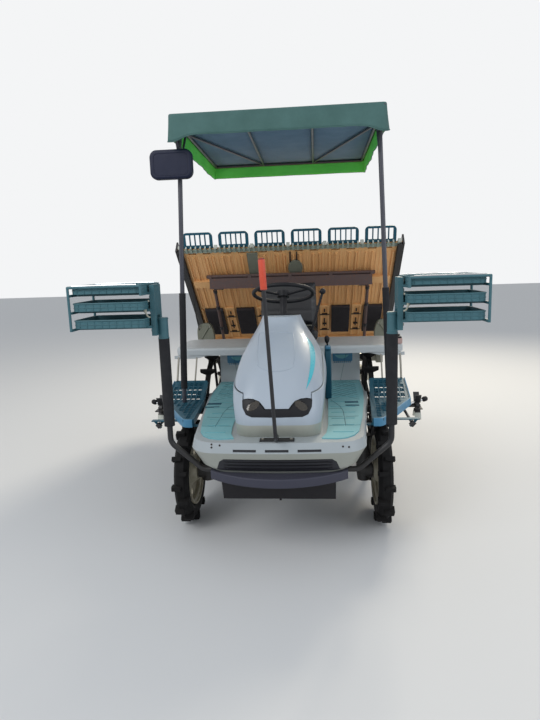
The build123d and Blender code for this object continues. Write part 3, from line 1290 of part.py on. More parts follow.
def table_hoops():
    """Teal guards that stand on the table's top edge, one a row, with upright openings."""
    y0, z0 = on_slope(0, TABLE_T / 2)
    pieces = []
    for centre in row_centres():
        plate = block(centre - HOOP_W / 2, centre + HOOP_W / 2, -HOOP_T / 2, HOOP_T / 2, 0, HOOP_H)
        plate = fillet(plate.edges().filter_by(Axis.Y).sort_by(Axis.Z)[-2:], HOOP_ROUND)
        first = centre - ((HOOP_BARS - 1) * HOOP_PITCH + HOOP_SLOT) / 2
        starts = [first + i * HOOP_PITCH for i in range(HOOP_BARS)]
        pieces.append(plate - [block(x, x + HOOP_SLOT, -HOOP_T, HOOP_T, 24, HOOP_H - 18) for x in starts])
    tilted = Pos(0, y0, z0 + 4) * Rot(HOOP_TILT, 0, 0) * join(pieces)
    keep("table_hoops", tilted - NODES["seedling_table"])


def table_support():
    """The pipe frame and beam that the table slides on, its shoes, and the rail under its lower edge."""
    foot = (SUPPORT_X, BEAM_Y, BEAM_Z + 20)
    head = (SUPPORT_X, SUPPORT_Y, SUPPORT_Z - 20)
    path = [foot, head, (-SUPPORT_X, head[1], head[2]), (-SUPPORT_X, foot[1], foot[2])]
    pieces = [pipe(path, SUPPORT_PIPE_R, SUPPORT_BEND)]
    pieces.append(block(-SUPPORT_BEAM_HALF, SUPPORT_BEAM_HALF, SUPPORT_Y - SUPPORT_BEAM_D,
                        SUPPORT_Y + SUPPORT_BEAM_D, SUPPORT_Z - SUPPORT_BEAM_H, SUPPORT_Z + SUPPORT_BEAM_H))
    for side in (-1, 1):
        x0, x1 = sorted((side * 600, side * 660))
        under = -GUIDE_DROP - SEAT_GAP
        shoe = [(SUPPORT_Y + 25, SUPPORT_Z - 35), (SUPPORT_Y + 25, SUPPORT_Z + 20)]
        shoe += [on_slope(GUIDE_START + 8, under), on_slope(GUIDE_END - 10, under)]
        shoe.append(on_slope(GUIDE_END - 10, under - 34))
        pieces.append(prism_x(shoe, x0, x1))
        for x in (side * 300, side * 830):
            y1, z1 = on_slope(TABLE_LEN + 10, 10)
            pieces.append(rod((x, BEAM_Y, BEAM_Z), (x, y1, z1), SUPPORT_STAY_R))
    pieces.append(slope_bar(-BEAM_HALF - 40, BEAM_HALF + 40, TABLE_LEN + SEAT_GAP, TABLE_LEN + 18, -18, 60))
    support = join(pieces) - cross_rod(-BEAM_HALF - 1, BEAM_HALF + 1, BEAM_Y, BEAM_Z, BEAM_R + SEAT_GAP)
    support -= slope_bar(-BEAM_HALF, BEAM_HALF, TABLE_LEN - 80, TABLE_LEN + SEAT_GAP, -60, 80)
    keep("table_support", support - NODES["planting_frame"])


# Build

frame_rails()
engine_block()
transmission_case()
rear_axle()
front_axle()
tie_rod()
deck_shell()
grille_panel()
front_lip()
floor_mats()
nose_shell()
hood_lid()
lamp_bezel()
headlamps()
dash_cowl()
steering_wheel()
shift_lever()
seat()
rear_cowl()
rear_fenders()
canopy_cover()
canopy_frame()
rack_posts()
post_sleeves()
mirror_unit()
centre_pole()
lower_links()
upper_link()
lift_cylinder()
planting_frame()
planting_cases()
floats()
seedling_table()
table_dividers()
table_sides()
table_belts()
table_hoops()
table_support()

# What comes in pairs is made on +X and mirrored
PAIRS = {
    "knuckle": knuckle(),
    "front_tyre": front_tyre(),
    "front_rim": front_rim(),
    "rear_wheel": rear_wheel(),
    "side_step": side_step() + marker_bracket(),
    "rack_frame": rack_frame(),
    "rack_trays": rack_trays(),
    "line_marker": line_marker(),
}
for name, shape in PAIRS.items():
    keep(name + "_left", shape)
    keep(name + "_right", flip(shape))

for name, centre in (("right", -CASE_PITCH), ("centre", 0), ("left", CASE_PITCH)):
    keep("rotor_" + name, rotor(centre))

for name, shape in NODES.items():
    export_step(shape, "parts/" + name + ".step")
print(len(NODES), "parts")
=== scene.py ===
# %% [markdown]
# # A riding rice transplanter, dressed in Blender
# The imported CAD model gives every size and every moving body. This notebook adds what a designer's solids
# leave out: cloth, padding, ribs, lamps, wear and dirt. We start by loading the frame.

# %% Load the frame
import bpy
import bmesh
from math import cos, pi, radians, sin
from mathutils import Matrix, Vector
from mathutils.bvhtree import BVHTree


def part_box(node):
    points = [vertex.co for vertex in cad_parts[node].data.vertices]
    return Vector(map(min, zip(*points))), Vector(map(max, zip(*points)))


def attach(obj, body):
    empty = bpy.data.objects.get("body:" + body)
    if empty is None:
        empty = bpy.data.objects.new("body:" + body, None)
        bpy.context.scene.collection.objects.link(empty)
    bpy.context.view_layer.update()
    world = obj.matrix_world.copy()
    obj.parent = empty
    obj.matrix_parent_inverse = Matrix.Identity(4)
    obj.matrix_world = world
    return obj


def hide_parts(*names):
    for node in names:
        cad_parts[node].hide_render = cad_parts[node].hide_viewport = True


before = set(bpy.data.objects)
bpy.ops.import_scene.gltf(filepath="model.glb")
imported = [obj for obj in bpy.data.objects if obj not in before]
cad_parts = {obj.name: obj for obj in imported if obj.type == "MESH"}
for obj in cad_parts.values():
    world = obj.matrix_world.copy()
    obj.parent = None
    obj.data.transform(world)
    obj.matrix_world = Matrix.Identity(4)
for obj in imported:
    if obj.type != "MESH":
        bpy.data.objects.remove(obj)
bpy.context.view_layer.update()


# %% [markdown]
# ## Camera
# The photo was taken standing, a little to the machine's left, with a phone's wide lens, tilted down by ten
# degrees and rolled by two. We build the camera's own axes from those three angles, because a matrix keeps
# them apart where Euler angles would mix them.

# %% Camera
EYE = Vector((0.216, -4.18, 1.62))
YAW = radians(4.99)
PITCH = radians(-10.0)
ROLL = radians(-1.9)
LENS = 27.05
SENSOR_HEIGHT = 36.0
FRAME_WIDTH, FRAME_HEIGHT = 540, 720

data = bpy.data.cameras.new("camera")
data.sensor_fit = "VERTICAL"
data.sensor_height = SENSOR_HEIGHT
data.lens = LENS
camera = bpy.data.objects.new("camera", data)
bpy.context.scene.collection.objects.link(camera)
turn = (Matrix.Rotation(YAW, 4, "Z") @ Matrix.Rotation(pi / 2 + PITCH, 4, "X")
        @ Matrix.Rotation(ROLL, 4, "Z"))
camera.matrix_world = Matrix.Translation(EYE) @ turn
bpy.context.scene.camera = camera
print("camera at", tuple(round(v, 3) for v in EYE))

# %% [markdown]
# ## Studio
# A pale floor under soft light keeps the eye on the machine. The world lights the object at a low level and
# shows itself white to the camera and to reflections, so pale panels never have to be overlit.

# %% Studio
def linear(hex_colour):
    """An sRGB hex colour as linear values with alpha."""
    values = [int(hex_colour[i:i + 2], 16) / 255 for i in (1, 3, 5)]
    return tuple(v / 12.92 if v <= 0.04045 else ((v + 0.055) / 1.055) ** 2.4 for v in values) + (1.0,)


def add(tree, kind, values=None, links=None, **settings):
    """Adds one node, sets its properties and its sockets, and links outputs to its inputs."""
    node = tree.nodes.new(kind)
    for key, value in settings.items():
        setattr(node, key, value)
    for key, value in (values or {}).items():
        node.inputs[key].default_value = value
    for key, output in (links or {}).items():
        tree.links.new(output, node.inputs[key])
    return node


world = bpy.data.worlds.new("studio")
bpy.context.scene.world = world
world.use_nodes = True
sky = world.node_tree
sky.nodes.clear()
rays = add(sky, "ShaderNodeLightPath")
seen = add(sky, "ShaderNodeMath", operation="MAXIMUM",
           links={0: rays.outputs["Is Camera Ray"], 1: rays.outputs["Is Glossy Ray"]})
seen = add(sky, "ShaderNodeMath", operation="MAXIMUM",
           links={0: seen.outputs[0], 1: rays.outputs["Is Transmission Ray"]})
soft = add(sky, "ShaderNodeBackground", {"Color": linear("#e9eef5"), "Strength": 0.62})
white = add(sky, "ShaderNodeBackground", {"Color": linear("#f4f5f6"), "Strength": 1.0})
mixed = add(sky, "ShaderNodeMixShader",
            links={0: seen.outputs[0], 1: soft.outputs[0], 2: white.outputs[0]})
add(sky, "ShaderNodeOutputWorld", links={"Surface": mixed.outputs[0]})


def lamp(name, place, target, size, watts, colour="#ffffff"):
    """A square softbox that points at a target."""
    light = bpy.data.lights.new(name, "AREA")
    light.shape = "SQUARE"
    light.size = size
    light.energy = watts
    light.color = linear(colour)[:3]
    obj = bpy.data.objects.new(name, light)
    bpy.context.scene.collection.objects.link(obj)
    place = Vector(place)
    aim = (Vector(target) - place).to_track_quat("-Z", "Y")
    obj.matrix_world = Matrix.Translation(place) @ aim.to_matrix().to_4x4()
    return obj


lamp("key", (-3.4, -4.6, 4.6), (0, -0.3, 1.0), 3.0, 135)
lamp("fill", (4.4, -3.4, 3.0), (0, -0.2, 1.0), 3.0, 62, "#f4f8ff")
lamp("sun_side", (2.2, 4.8, 5.4), (0, 0.1, 1.6), 1.8, 330, "#fff4e0")

# %% [markdown]
# ## Materials
# Every surface starts from what the real one is made of. Moulded plastics share one recipe: a base colour
# that fades a little in large clouds, dust that gathers on what faces up, and a fine moulded grain. Real
# scales are given in millimetres, and the two helpers turn them into Blender's noise scales.

# %% Material helpers
def per_mm(size):
    """Noise scale for features of a size in millimetres, in a scene built in metres."""
    return 1000.0 / size


def start(name):
    """An empty material with a principled shader, and its tree."""
    material = bpy.data.materials.new(name)
    material.use_nodes = True
    tree = material.node_tree
    tree.nodes.clear()
    shader = add(tree, "ShaderNodeBsdfPrincipled")
    add(tree, "ShaderNodeOutputMaterial", links={"Surface": shader.outputs[0]})
    return material, tree, shader


def worn(name, base, faded, dust, rough, metallic=0.0, cloud=160, grain=0.9, grain_depth=0.02,
         dust_share=0.5, spots=None, spot_size=9, spot_share=0.34, coat=0.0, ior=1.5, low_dust=0.0,
         upper=None, split=0.0):
    """A solid finish with cloudy fading, dust on what faces up, small spots of wear and a fine grain. A panel
    in two colours has its upper colour above the split height; on the deck the lower colour is painted shade."""
    material, tree, shader = start(name)
    where = add(tree, "ShaderNodeTexCoord").outputs["Object"]
    clouds = add(tree, "ShaderNodeTexNoise", {"Scale": per_mm(cloud), "Detail": 5.0, "Roughness": 0.6},
                 {"Vector": where})
    fade = add(tree, "ShaderNodeMix", data_type="RGBA", values={6: linear(base), 7: linear(faded)},
               links={0: clouds.outputs[0]})
    base_colour = fade.outputs[2]
    if upper:
        level = add(tree, "ShaderNodeSeparateXYZ", links={0: where})
        above = add(tree, "ShaderNodeMapRange", {1: split - 0.0015, 2: split + 0.0015},
                    {0: level.outputs["Z"]})
        base_colour = add(tree, "ShaderNodeMix", data_type="RGBA", values={7: linear(upper)},
                          links={0: above.outputs[0], 6: base_colour}).outputs[2]
    facing = add(tree, "ShaderNodeSeparateXYZ",
                 links={0: add(tree, "ShaderNodeNewGeometry").outputs["Normal"]})
    up = add(tree, "ShaderNodeMapRange", {1: 0.2, 2: 1.0, 3: 0.0, 4: dust_share}, {0: facing.outputs["Z"]})
    patches = add(tree, "ShaderNodeTexNoise", {"Scale": per_mm(45), "Detail": 6.0, "Roughness": 0.7},
                  {"Vector": where})
    ragged = add(tree, "ShaderNodeMath", operation="MULTIPLY",
                 links={0: up.outputs[0], 1: patches.outputs[0]})
    share = ragged.outputs[0]
    if low_dust:
        height = add(tree, "ShaderNodeSeparateXYZ", links={0: where})
        low = add(tree, "ShaderNodeMapRange", {1: 0.72, 2: 0.3, 3: 0.0, 4: low_dust},
                  {0: height.outputs["Z"]})
        low = add(tree, "ShaderNodeMath", operation="MULTIPLY",
                  links={0: low.outputs[0], 1: patches.outputs[0]})
        share = add(tree, "ShaderNodeMath", operation="ADD", use_clamp=True,
                    links={0: share, 1: low.outputs[0]}).outputs[0]
    dusty = add(tree, "ShaderNodeMix", data_type="RGBA", values={7: linear(dust)},
                links={0: share, 6: base_colour})
    colour = dusty.outputs[2]
    if spots:
        cells = add(tree, "ShaderNodeTexNoise",
                    {"Scale": per_mm(spot_size), "Detail": 4.0, "Roughness": 0.75}, {"Vector": where})
        edge = add(tree, "ShaderNodeMapRange", {1: 1.0 - spot_share, 2: 1.08 - spot_share, 3: 0.0, 4: 0.9},
                   {0: cells.outputs[0]})
        colour = add(tree, "ShaderNodeMix", data_type="RGBA", values={7: linear(spots)},
                     links={0: edge.outputs[0], 6: colour}).outputs[2]
    tree.links.new(colour, shader.inputs["Base Color"])
    gloss = add(tree, "ShaderNodeMapRange", {1: 0.3, 2: 0.7, 3: rough - 0.07, 4: rough + 0.1},
                {0: patches.outputs[0]})
    tree.links.new(gloss.outputs[0], shader.inputs["Roughness"])
    fine = add(tree, "ShaderNodeTexNoise", {"Scale": per_mm(grain * 4), "Detail": 3.0}, {"Vector": where})
    bump = add(tree, "ShaderNodeBump", {"Strength": 0.25, "Distance": grain_depth / 100},
               {"Height": fine.outputs[0]})
    tree.links.new(bump.outputs[0], shader.inputs["Normal"])
    shader.inputs["Metallic"].default_value = metallic
    shader.inputs["Coat Weight"].default_value = coat
    if not metallic:
        shader.inputs["IOR"].default_value = ior
    return material


# %% [markdown]
# ### Hard finishes
# The hood and deck are moulded ABS, glossy when new and now a little chalky. The floor mats are vulcanised
# rubber. Tubes are enamelled steel, so their chips show rust. Castings are painted grey and carry mud.

# %% Hard finishes
ABS_WHITE = worn("abs_white_moulded", "#acb8c5", "#a2aebb", "#a9aaa0", 0.4, cloud=300, dust_share=0.25,
                 coat=0.1)
ABS_NOSE = worn("abs_nose_two_tone", "#aaada4", "#9fa298", "#8f8a74", 0.4, cloud=220, dust_share=0.3,
                low_dust=0.3, coat=0.1, upper="#a9b5c1", split=0.772)
# Below the fascia's crease the deck's colour turns cream: painted shade where the fascia turns under.
ABS_DECK = worn("abs_deck_shade_below_crease", "#a6aaa4", "#999d95", "#8f8a74", 0.4, cloud=220, dust_share=0.3,
                low_dust=0.35, coat=0.1, upper="#a4adb2", split=0.645)
ABS_BEIGE = worn("abs_beige_moulded", "#bac1c5", "#aeb3b4", "#938f80", 0.45, cloud=180, dust_share=0.4)
ABS_BLACK = worn("abs_black_moulded", "#121318", "#1a1b20", "#46423a", 0.5, cloud=120, dust_share=0.1,
                 ior=1.35)
ABS_CHARCOAL = worn("abs_charcoal_moulded", "#26272d", "#2f3036", "#5d584e", 0.5, cloud=120, dust_share=0.12,
                    ior=1.4)
ABS_SLATE = worn("abs_slate_over_guard", "#1b1a1d", "#242226", "#3b372f", 0.55, cloud=120, dust_share=0.15,
                 ior=1.35, upper="#3e3f4c", split=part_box("front_lip")[1].z - 0.074)
MAT_TEAL = worn("rubber_mat_teal", "#69abb5", "#7cbac1", "#a7ab98", 0.62, cloud=90, dust_share=0.25,
                spots="#4b7f86", spot_size=14)
STEP_TEAL = worn("polypropylene_deep_teal", "#0f485b", "#165468", "#4f7074", 0.5, cloud=80, dust_share=0.15,
                 ior=1.4)
STEP_LIP = worn("polypropylene_sea_blue", "#37779c", "#4f8bad", "#8f9fa0", 0.42, cloud=80, dust_share=0.3)
ENAMEL_BLACK = worn("enamel_black_steel", "#15161a", "#1e1f24", "#4a453c", 0.42, cloud=60, dust_share=0.2,
                    spots="#5a3a26", spot_size=7, spot_share=0.3, low_dust=0.5)
ENAMEL_GREY = worn("enamel_grey_casting", "#75766c", "#66675c", "#8f866c", 0.55, cloud=50, dust_share=0.5,
                   spots="#4b3a2c", spot_size=12, spot_share=0.36, low_dust=0.5)
ENAMEL_POST = worn("enamel_dark_tube", "#3a3b45", "#44454e", "#77736b", 0.35, cloud=70, dust_share=0.2,
                   spots="#5c4335", spot_size=6, spot_share=0.31)
ENAMEL_TEAL = worn("enamel_teal_tube", "#406d77", "#345d67", "#7f8a85", 0.48, cloud=45, dust_share=0.45,
                   spots="#2b3c40", spot_size=10, spot_share=0.36)
TRAY_TEAL = worn("polypropylene_tray_teal", "#345d67", "#41707a", "#7f8a85", 0.55, cloud=60, dust_share=0.4,
                 spots="#27424a", spot_size=16, spot_share=0.36)
# The ochre is drawn lighter than the moulding's own colour: painted light for the sun shining through the
# table from behind.
OCHRE = worn("polypropylene_ochre_painted_backlight", "#efbb82", "#e4ad6d", "#c9a67a", 0.5, cloud=110, dust_share=0.2,
             spots="#a87238", spot_size=12, spot_share=0.33)
TYRE_RUBBER = worn("tyre_rubber_muddy", "#0b0b0d", "#121214", "#2b2822", 0.8, cloud=40, grain=2.5,
                   grain_depth=0.06, dust_share=0.15, spots="#1c1a15", spot_size=22, spot_share=0.34,
                   low_dust=0.12, ior=1.35)
RIM_PAINT = worn("enamel_cream_rim", "#b9b4a2", "#a8a28e", "#6b624c", 0.5, cloud=50, dust_share=0.4,
                 spots="#5a4531", spot_size=9, spot_share=0.36, low_dust=0.6)
FOAM_BLACK = worn("foam_sleeve_black", "#141519", "#1d1e23", "#4a4844", 0.85, cloud=40, grain=1.6,
                  grain_depth=0.09, dust_share=0.2)
BELT_BLACK = worn("ribbed_belt_black", "#1d1a1f", "#28242a", "#5b5148", 0.7, cloud=40, dust_share=0.3)
ZINC = worn("zinc_plated_steel", "#9c9a92", "#85837b", "#6f675a", 0.4, metallic=0.75, cloud=35,
            dust_share=0.3, spots="#70503a", spot_size=8, spot_share=0.38)
RUSTED = worn("rusted_beam_steel", "#4e4244", "#5f4c46", "#77695c", 0.7, metallic=0.2, cloud=45,
              dust_share=0.4, spots="#7a4c34", spot_size=18, spot_share=0.42)
CHROME = worn("chromed_rod", "#c7c9cc", "#b9bcc0", "#8d8a80", 0.18, metallic=1.0, cloud=30, dust_share=0.15)
CAST_ALUMINIUM = worn("cast_aluminium", "#a3a59f", "#8f918a", "#77705c", 0.42, metallic=0.8, cloud=30,
                      dust_share=0.3, spots="#5d5647", spot_size=9, spot_share=0.36)
FLOAT_WHITE = worn("polyethylene_float", "#c6c4b4", "#b5b2a0", "#857a5e", 0.5, cloud=130, dust_share=0.4,
                   low_dust=0.9)
TIP_ORANGE = worn("pvc_sleeve_orange", "#d8543a", "#c8462f", "#b5685a", 0.5, cloud=30, dust_share=0.2)
CLIP_GREY = worn("nylon_clip_grey", "#9aa79b", "#848f83", "#6d6f62", 0.55, cloud=30, dust_share=0.2)
TURQUOISE = worn("vinyl_film_turquoise", "#2fb4c6", "#41bccb", "#7fb8bd", 0.3, cloud=90, dust_share=0.2,
                 coat=0.3)

NODE_FINISH = {
    ABS_WHITE: "hood_lid",
    ABS_NOSE: "nose_shell",
    ABS_DECK: "deck_shell",
    ABS_BEIGE: "rear_cowl rear_fenders",
    ABS_BLACK: "lamp_bezel dash_cowl shift_lever steering_wheel",
    ABS_CHARCOAL: "grille_panel",
    ABS_SLATE: "front_lip",
    MAT_TEAL: "floor_mats",
    STEP_TEAL: "side_step_left side_step_right table_hoops",
    ENAMEL_BLACK: "frame_rails rear_axle front_axle tie_rod knuckle_left knuckle_right seat_base"
                  " table_sides line_marker_left line_marker_right centre_pole rack_posts",
    ENAMEL_GREY: "engine_block transmission_case planting_cases lower_links upper_link lift_cylinder"
                 " planting_frame",
    ENAMEL_POST: "canopy_frame",
    ENAMEL_TEAL: "rack_frame_left rack_frame_right",
    TRAY_TEAL: "rack_trays_left rack_trays_right",
    OCHRE: "seedling_table table_dividers",
    TYRE_RUBBER: "front_tyre_left front_tyre_right rear_wheel_left rear_wheel_right",
    RIM_PAINT: "front_rim_left front_rim_right",
    FOAM_BLACK: "post_sleeves",
    BELT_BLACK: "table_belts",
    RUSTED: "table_support",
    CHROME: "lift_rod",
    CAST_ALUMINIUM: "rotor_left rotor_centre rotor_right",
    FLOAT_WHITE: "floats",
}


def dress(names, material):
    """Gives CAD nodes, named in one line of text, one finish."""
    for name in names.split():
        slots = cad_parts[name].data.materials
        slots.clear()
        slots.append(material)


for material, names in NODE_FINISH.items():
    dress(names, material)
print("finishes", len(NODE_FINISH))

# %% Floor
floor_material, tree, shader = start("painted_floor")
shader.inputs["Base Color"].default_value = linear("#d3d4d4")
shader.inputs["Roughness"].default_value = 0.8
mesh = bpy.data.meshes.new("floor")
FLOOR_HALF = 30
mesh.from_pydata([(x * FLOOR_HALF, y * FLOOR_HALF, 0) for x, y in ((-1, -1), (1, -1), (1, 1), (-1, 1))], [],
                 [(0, 1, 2, 3)])
mesh.materials.append(floor_material)
floor = bpy.data.objects.new("floor", mesh)
bpy.context.scene.collection.objects.link(floor)

# %% [markdown]
# ## Mesh tools
# Most trim on a machine is bar, plate or bent rod. A few helpers build those as vertex and face lists, and
# `piece` joins the lists into one object, rounds its edges and lets it ride on a moving body.

# %% Mesh tools
BOX_FACES = [(0, 1, 3, 2), (4, 6, 7, 5), (0, 4, 5, 1), (2, 3, 7, 6), (0, 2, 6, 4), (1, 5, 7, 3)]
SIDES = (("left", 1), ("right", -1))


def quads(rows, columns, around=False, closed=False):
    """Four-sided faces over rows of points, joined around each row or from last row to first if asked."""
    faces = []
    for i in range(rows if closed else rows - 1):
        j = (i + 1) % rows
        for k in range(columns if around else columns - 1):
            m = (k + 1) % columns
            faces.append((i * columns + k, i * columns + m, j * columns + m, j * columns + k))
    return faces


def end_caps(rows, columns):
    """The two faces that close a tube of rows."""
    return [tuple(reversed(range(columns))), tuple((rows - 1) * columns + k for k in range(columns))]


def plate(lo, hi):
    """A box between two corners, as vertices and faces."""
    xs, ys, zs = zip(lo, hi)
    return [(x, y, z) for x in xs for y in ys for z in zs], BOX_FACES


def bar(start_point, end_point, width, height):
    """A rectangular bar between two points, its width level."""
    a, b = Vector(start_point), Vector(end_point)
    along = (b - a).normalized()
    side = along.cross(Vector((0, 0, 1))).normalized() * (width / 2)
    up = side.cross(along).normalized() * (height / 2)
    verts = [tuple(p + side * s + up * u) for p in (a, b) for s in (-1, 1) for u in (-1, 1)]
    return verts, BOX_FACES


def prism(first, second):
    """A solid between two outlines that have as many points as each other."""
    n = len(first)
    faces = [tuple(range(n)), tuple(reversed(range(n, 2 * n)))]
    faces += [(k, (k + 1) % n, n + (k + 1) % n, n + k) for k in range(n)]
    return [tuple(point) for point in first + second], faces


def upright_plate(outline, y0, y1):
    """A plate that faces the front, from an outline of (x, z) places."""
    return prism([(x, y0, z) for x, z in outline], [(x, y1, z) for x, z in outline])


def sweep(path, radius, sides=10, closed=False, flat=1.0):
    """A round or flattened bar along a path; radius may be a list with one value a point."""
    path = [Vector(p) for p in path]
    count = len(path)
    radii = radius if isinstance(radius, (list, tuple)) else [radius] * count
    verts, side = [], None
    for i, point in enumerate(path):
        before = path[i - 1] if i or closed else path[0]
        after = path[(i + 1) % count] if i + 1 < count or closed else path[-1]
        along = (after - before).normalized()
        if side is None:
            upright = abs(along.z) > 0.9
            side = along.orthogonal().normalized() if upright else along.cross(Vector((0, 0, 1)))
        side = (side - along * side.dot(along)).normalized()
        other = along.cross(side).normalized()
        for k in range(sides):
            a = 2 * pi * k / sides
            verts.append(point + (side * cos(a) + other * (sin(a) * flat)) * radii[i])
    faces = quads(count, sides, around=True, closed=closed)
    return [tuple(v) for v in verts], faces if closed else faces + end_caps(count, sides)


def spin(profile, origin, axis, sides=32):
    """A turned form: (radius, distance along the axis) points spun round an axis."""
    axis = Vector(axis).normalized()
    side = axis.orthogonal().normalized()
    other = axis.cross(side)
    origin = Vector(origin)
    verts = []
    for radius, along in profile:
        for k in range(sides):
            a = 2 * pi * k / sides
            verts.append(origin + axis * along + (side * cos(a) + other * sin(a)) * max(radius, 1e-5))
    rows = len(profile)
    return [tuple(v) for v in verts], quads(rows, sides, around=True) + end_caps(rows, sides)


def head_profile(radius, height, edge, crown, sink=0.0):
    """A bolt head to spin: its radius and height, its chamfer, and how deep it sinks into its seat."""
    top = height + crown
    return [(0.0, -sink), (radius, -sink), (radius, height), (radius - edge, top), (0.0, top)]


def piece(name, body, finish, parts, bevel=0.0, smooth=True, segments=2):
    """One object from several vertex and face lists."""
    verts, faces = [], []
    for part_verts, part_faces in parts:
        base = len(verts)
        verts += part_verts
        faces += [tuple(base + i for i in face) for face in part_faces]
    mesh = bpy.data.meshes.new(name)
    mesh.from_pydata(verts, [], faces)
    shape = bmesh.new()
    shape.from_mesh(mesh)
    bmesh.ops.recalc_face_normals(shape, faces=shape.faces)
    shape.to_mesh(mesh)
    shape.free()
    mesh.materials.append(finish)
    obj = bpy.data.objects.new(name, mesh)
    bpy.context.scene.collection.objects.link(obj)
    if bevel:
        rounder = obj.modifiers.new("round", "BEVEL")
        rounder.width = bevel
        rounder.segments = segments
        rounder.limit_method = "ANGLE"
        rounder.angle_limit = radians(40)
    if smooth:
        mesh.shade_smooth()
        mesh.set_sharp_from_angle(angle=radians(38))
    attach(obj, body)
    print(name, len(mesh.polygons), "faces")
    return obj


def surface(node):
    """A tree of a node's faces, for laying trim on its surface."""
    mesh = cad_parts[node].data
    faces = [tuple(p.vertices) for p in mesh.polygons]
    return BVHTree.FromPolygons([v.co.copy() for v in mesh.vertices], faces)


def hit(tree, origin, direction):
    """Where a ray meets a surface and the normal there, or None twice."""
    return tree.ray_cast(Vector(origin), Vector(direction))[:2]


def mirrored(part):
    """A part's mirror image across the machine."""
    verts, faces = part
    return [(-x, y, z) for x, y, z in verts], [tuple(reversed(f)) for f in faces]


def both_sides(part):
    """A part with its mirror image."""
    return [part, mirrored(part)]


def on_side(parts, side):
    """Parts made for the machine's left, or their mirror images for its right."""
    return parts if side > 0 else [mirrored(part) for part in parts]


# %% [markdown]
# ## Laying trim where the photo shows it
# A decal or an embossed line has to follow a curved panel. We aim from the camera through a place in the
# photo's frame, find where that ray meets the panel, and lift the point a little along the panel's normal.

# %% Aiming from the camera
DISTANCE = 2.9


def aim(px, py):
    """The direction from the camera through a place in the photo's frame."""
    focal = LENS / SENSOR_HEIGHT * FRAME_HEIGHT
    return (turn.to_3x3() @ Vector((px - FRAME_WIDTH / 2, FRAME_HEIGHT / 2 - py, -focal))).normalized()


def seen(tree, px, py, lift=0.0):
    """Where the panel shows at that place, lifted along its normal."""
    point, normal = hit(tree, EYE, aim(px, py))
    if point is None:
        point, normal = tree.find_nearest(EYE + aim(px, py) * DISTANCE)[:2]
    return point + normal * lift


def between(points, share):
    """A point along a polyline of (x, y) pairs, by share of its count."""
    place = share * (len(points) - 1)
    i = min(int(place), len(points) - 2)
    f = place - i
    return tuple(a + (b - a) * f for a, b in zip(points[i], points[i + 1]))


def smooth_line(points, steps):
    """A Catmull-Rom curve through points, in any number of dimensions."""
    line = []
    ends = [points[0]] + list(points) + [points[-1]]
    for i in range(1, len(ends) - 2):
        for s in range(steps):
            t = s / steps
            p0, p1, p2, p3 = ends[i - 1:i + 3]
            line.append(tuple(0.5 * (2 * b + (c - a) * t + (2 * a - 5 * b + 4 * c - d) * t * t
                                     + (3 * b - a - 3 * c + d) * t ** 3)
                              for a, b, c, d in zip(p0, p1, p2, p3)))
    line.append(tuple(points[-1]))
    return line


# %% [markdown]
# ### Hood trim
# The lid carries a turquoise film in the shape of a crescent on the driver's left, and a shallow moulded
# frame down its middle. The frame is drawn as a flat bead, since a moulded line is broad and low.

# %% Hood trim
lid_tree = surface("hood_lid")
INNER_EDGE = smooth_line([(304.6, 336), (308.6, 345), (310.2, 357), (310.0, 367), (308.2, 379),
                          (305.8, 390)], 4)
OUTER_EDGE = smooth_line([(304.6, 336), (311.0, 342), (315.0, 352), (314.8, 365), (311.6, 378),
                          (305.8, 390)], 4)
FILM_ROWS, FILM_COLUMNS = 26, 6
FILM_LIFT = 0.0012
verts = []
for i in range(FILM_ROWS):
    a = between(INNER_EDGE, i / (FILM_ROWS - 1))
    b = between(OUTER_EDGE, i / (FILM_ROWS - 1))
    for k in range(FILM_COLUMNS):
        f = k / (FILM_COLUMNS - 1)
        verts.append(tuple(seen(lid_tree, a[0] + (b[0] - a[0]) * f, a[1] + (b[1] - a[1]) * f, FILM_LIFT)))
piece("hood_crescent", "hood", TURQUOISE, [(verts, quads(FILM_ROWS, FILM_COLUMNS))])

FRAME_LINES = (([(259, 333), (258, 345), (257.5, 358), (259, 364)], 4),
               ([(293, 333), (294.5, 345), (294.5, 358), (293, 364)], 4),
               ([(259, 333), (276, 332), (293, 333)], 5),
               ([(257, 365), (264, 369.5), (276, 371.5), (288, 369.5), (295, 365)], 5))
BEAD_RADIUS = 0.0026
beads = []
for line, steps in FRAME_LINES:
    path = [seen(lid_tree, x, y) for x, y in smooth_line(line, steps)]
    beads.append(sweep(path, BEAD_RADIUS, 8))
piece("hood_moulded_frame", "hood", ABS_WHITE, beads)

# %% [markdown]
# ### Lamps
# Each lamp is a dark clear lens over a reflector bowl with an amber bulb cap. We keep the CAD lens for its
# outline and set a turned bowl behind it.

# %% Lamps
LENS_SMOKE, tree, shader = start("polycarbonate_lens_smoked")
shader.inputs["Base Color"].default_value = linear("#6a6052")
shader.inputs["Roughness"].default_value = 0.06
shader.inputs["Transmission Weight"].default_value = 0.85
shader.inputs["IOR"].default_value = 1.58
REFLECTOR = worn("vacuum_plated_reflector", "#8a8478", "#6f685c", "#57503f", 0.2, metallic=0.9, cloud=20,
                 dust_share=0.1)
AMBER = worn("amber_bulb_cap", "#a06a2a", "#8c5a24", "#6b4a2c", 0.3, cloud=10, dust_share=0.1, coat=0.3)
dress("headlamps", LENS_SMOKE)
LAMP_X, LAMP_Z, LAMP_DEPTH = 0.130, 0.874, 0.062
BOWL = [(0.008, -0.022), (0.018, -0.016), (0.026, -0.004), (0.029, 0.006), (0.027, 0.006), (0.024, -0.003),
        (0.016, -0.013), (0.008, -0.018)]
BULB = [(0.001, 0.004), (0.006, 0.002), (0.008, -0.004), (0.008, -0.014)]
bowls, bulbs = [], []
for side in (-1, 1):
    centre = Vector((side * LAMP_X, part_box("headlamps")[0].y + LAMP_DEPTH, LAMP_Z))
    axis = Vector((side * 0.25, -1, 0.12)).normalized()
    bowls.append(spin(BOWL, centre, axis, 28))
    bulbs.append(spin(BULB, centre, axis, 18))
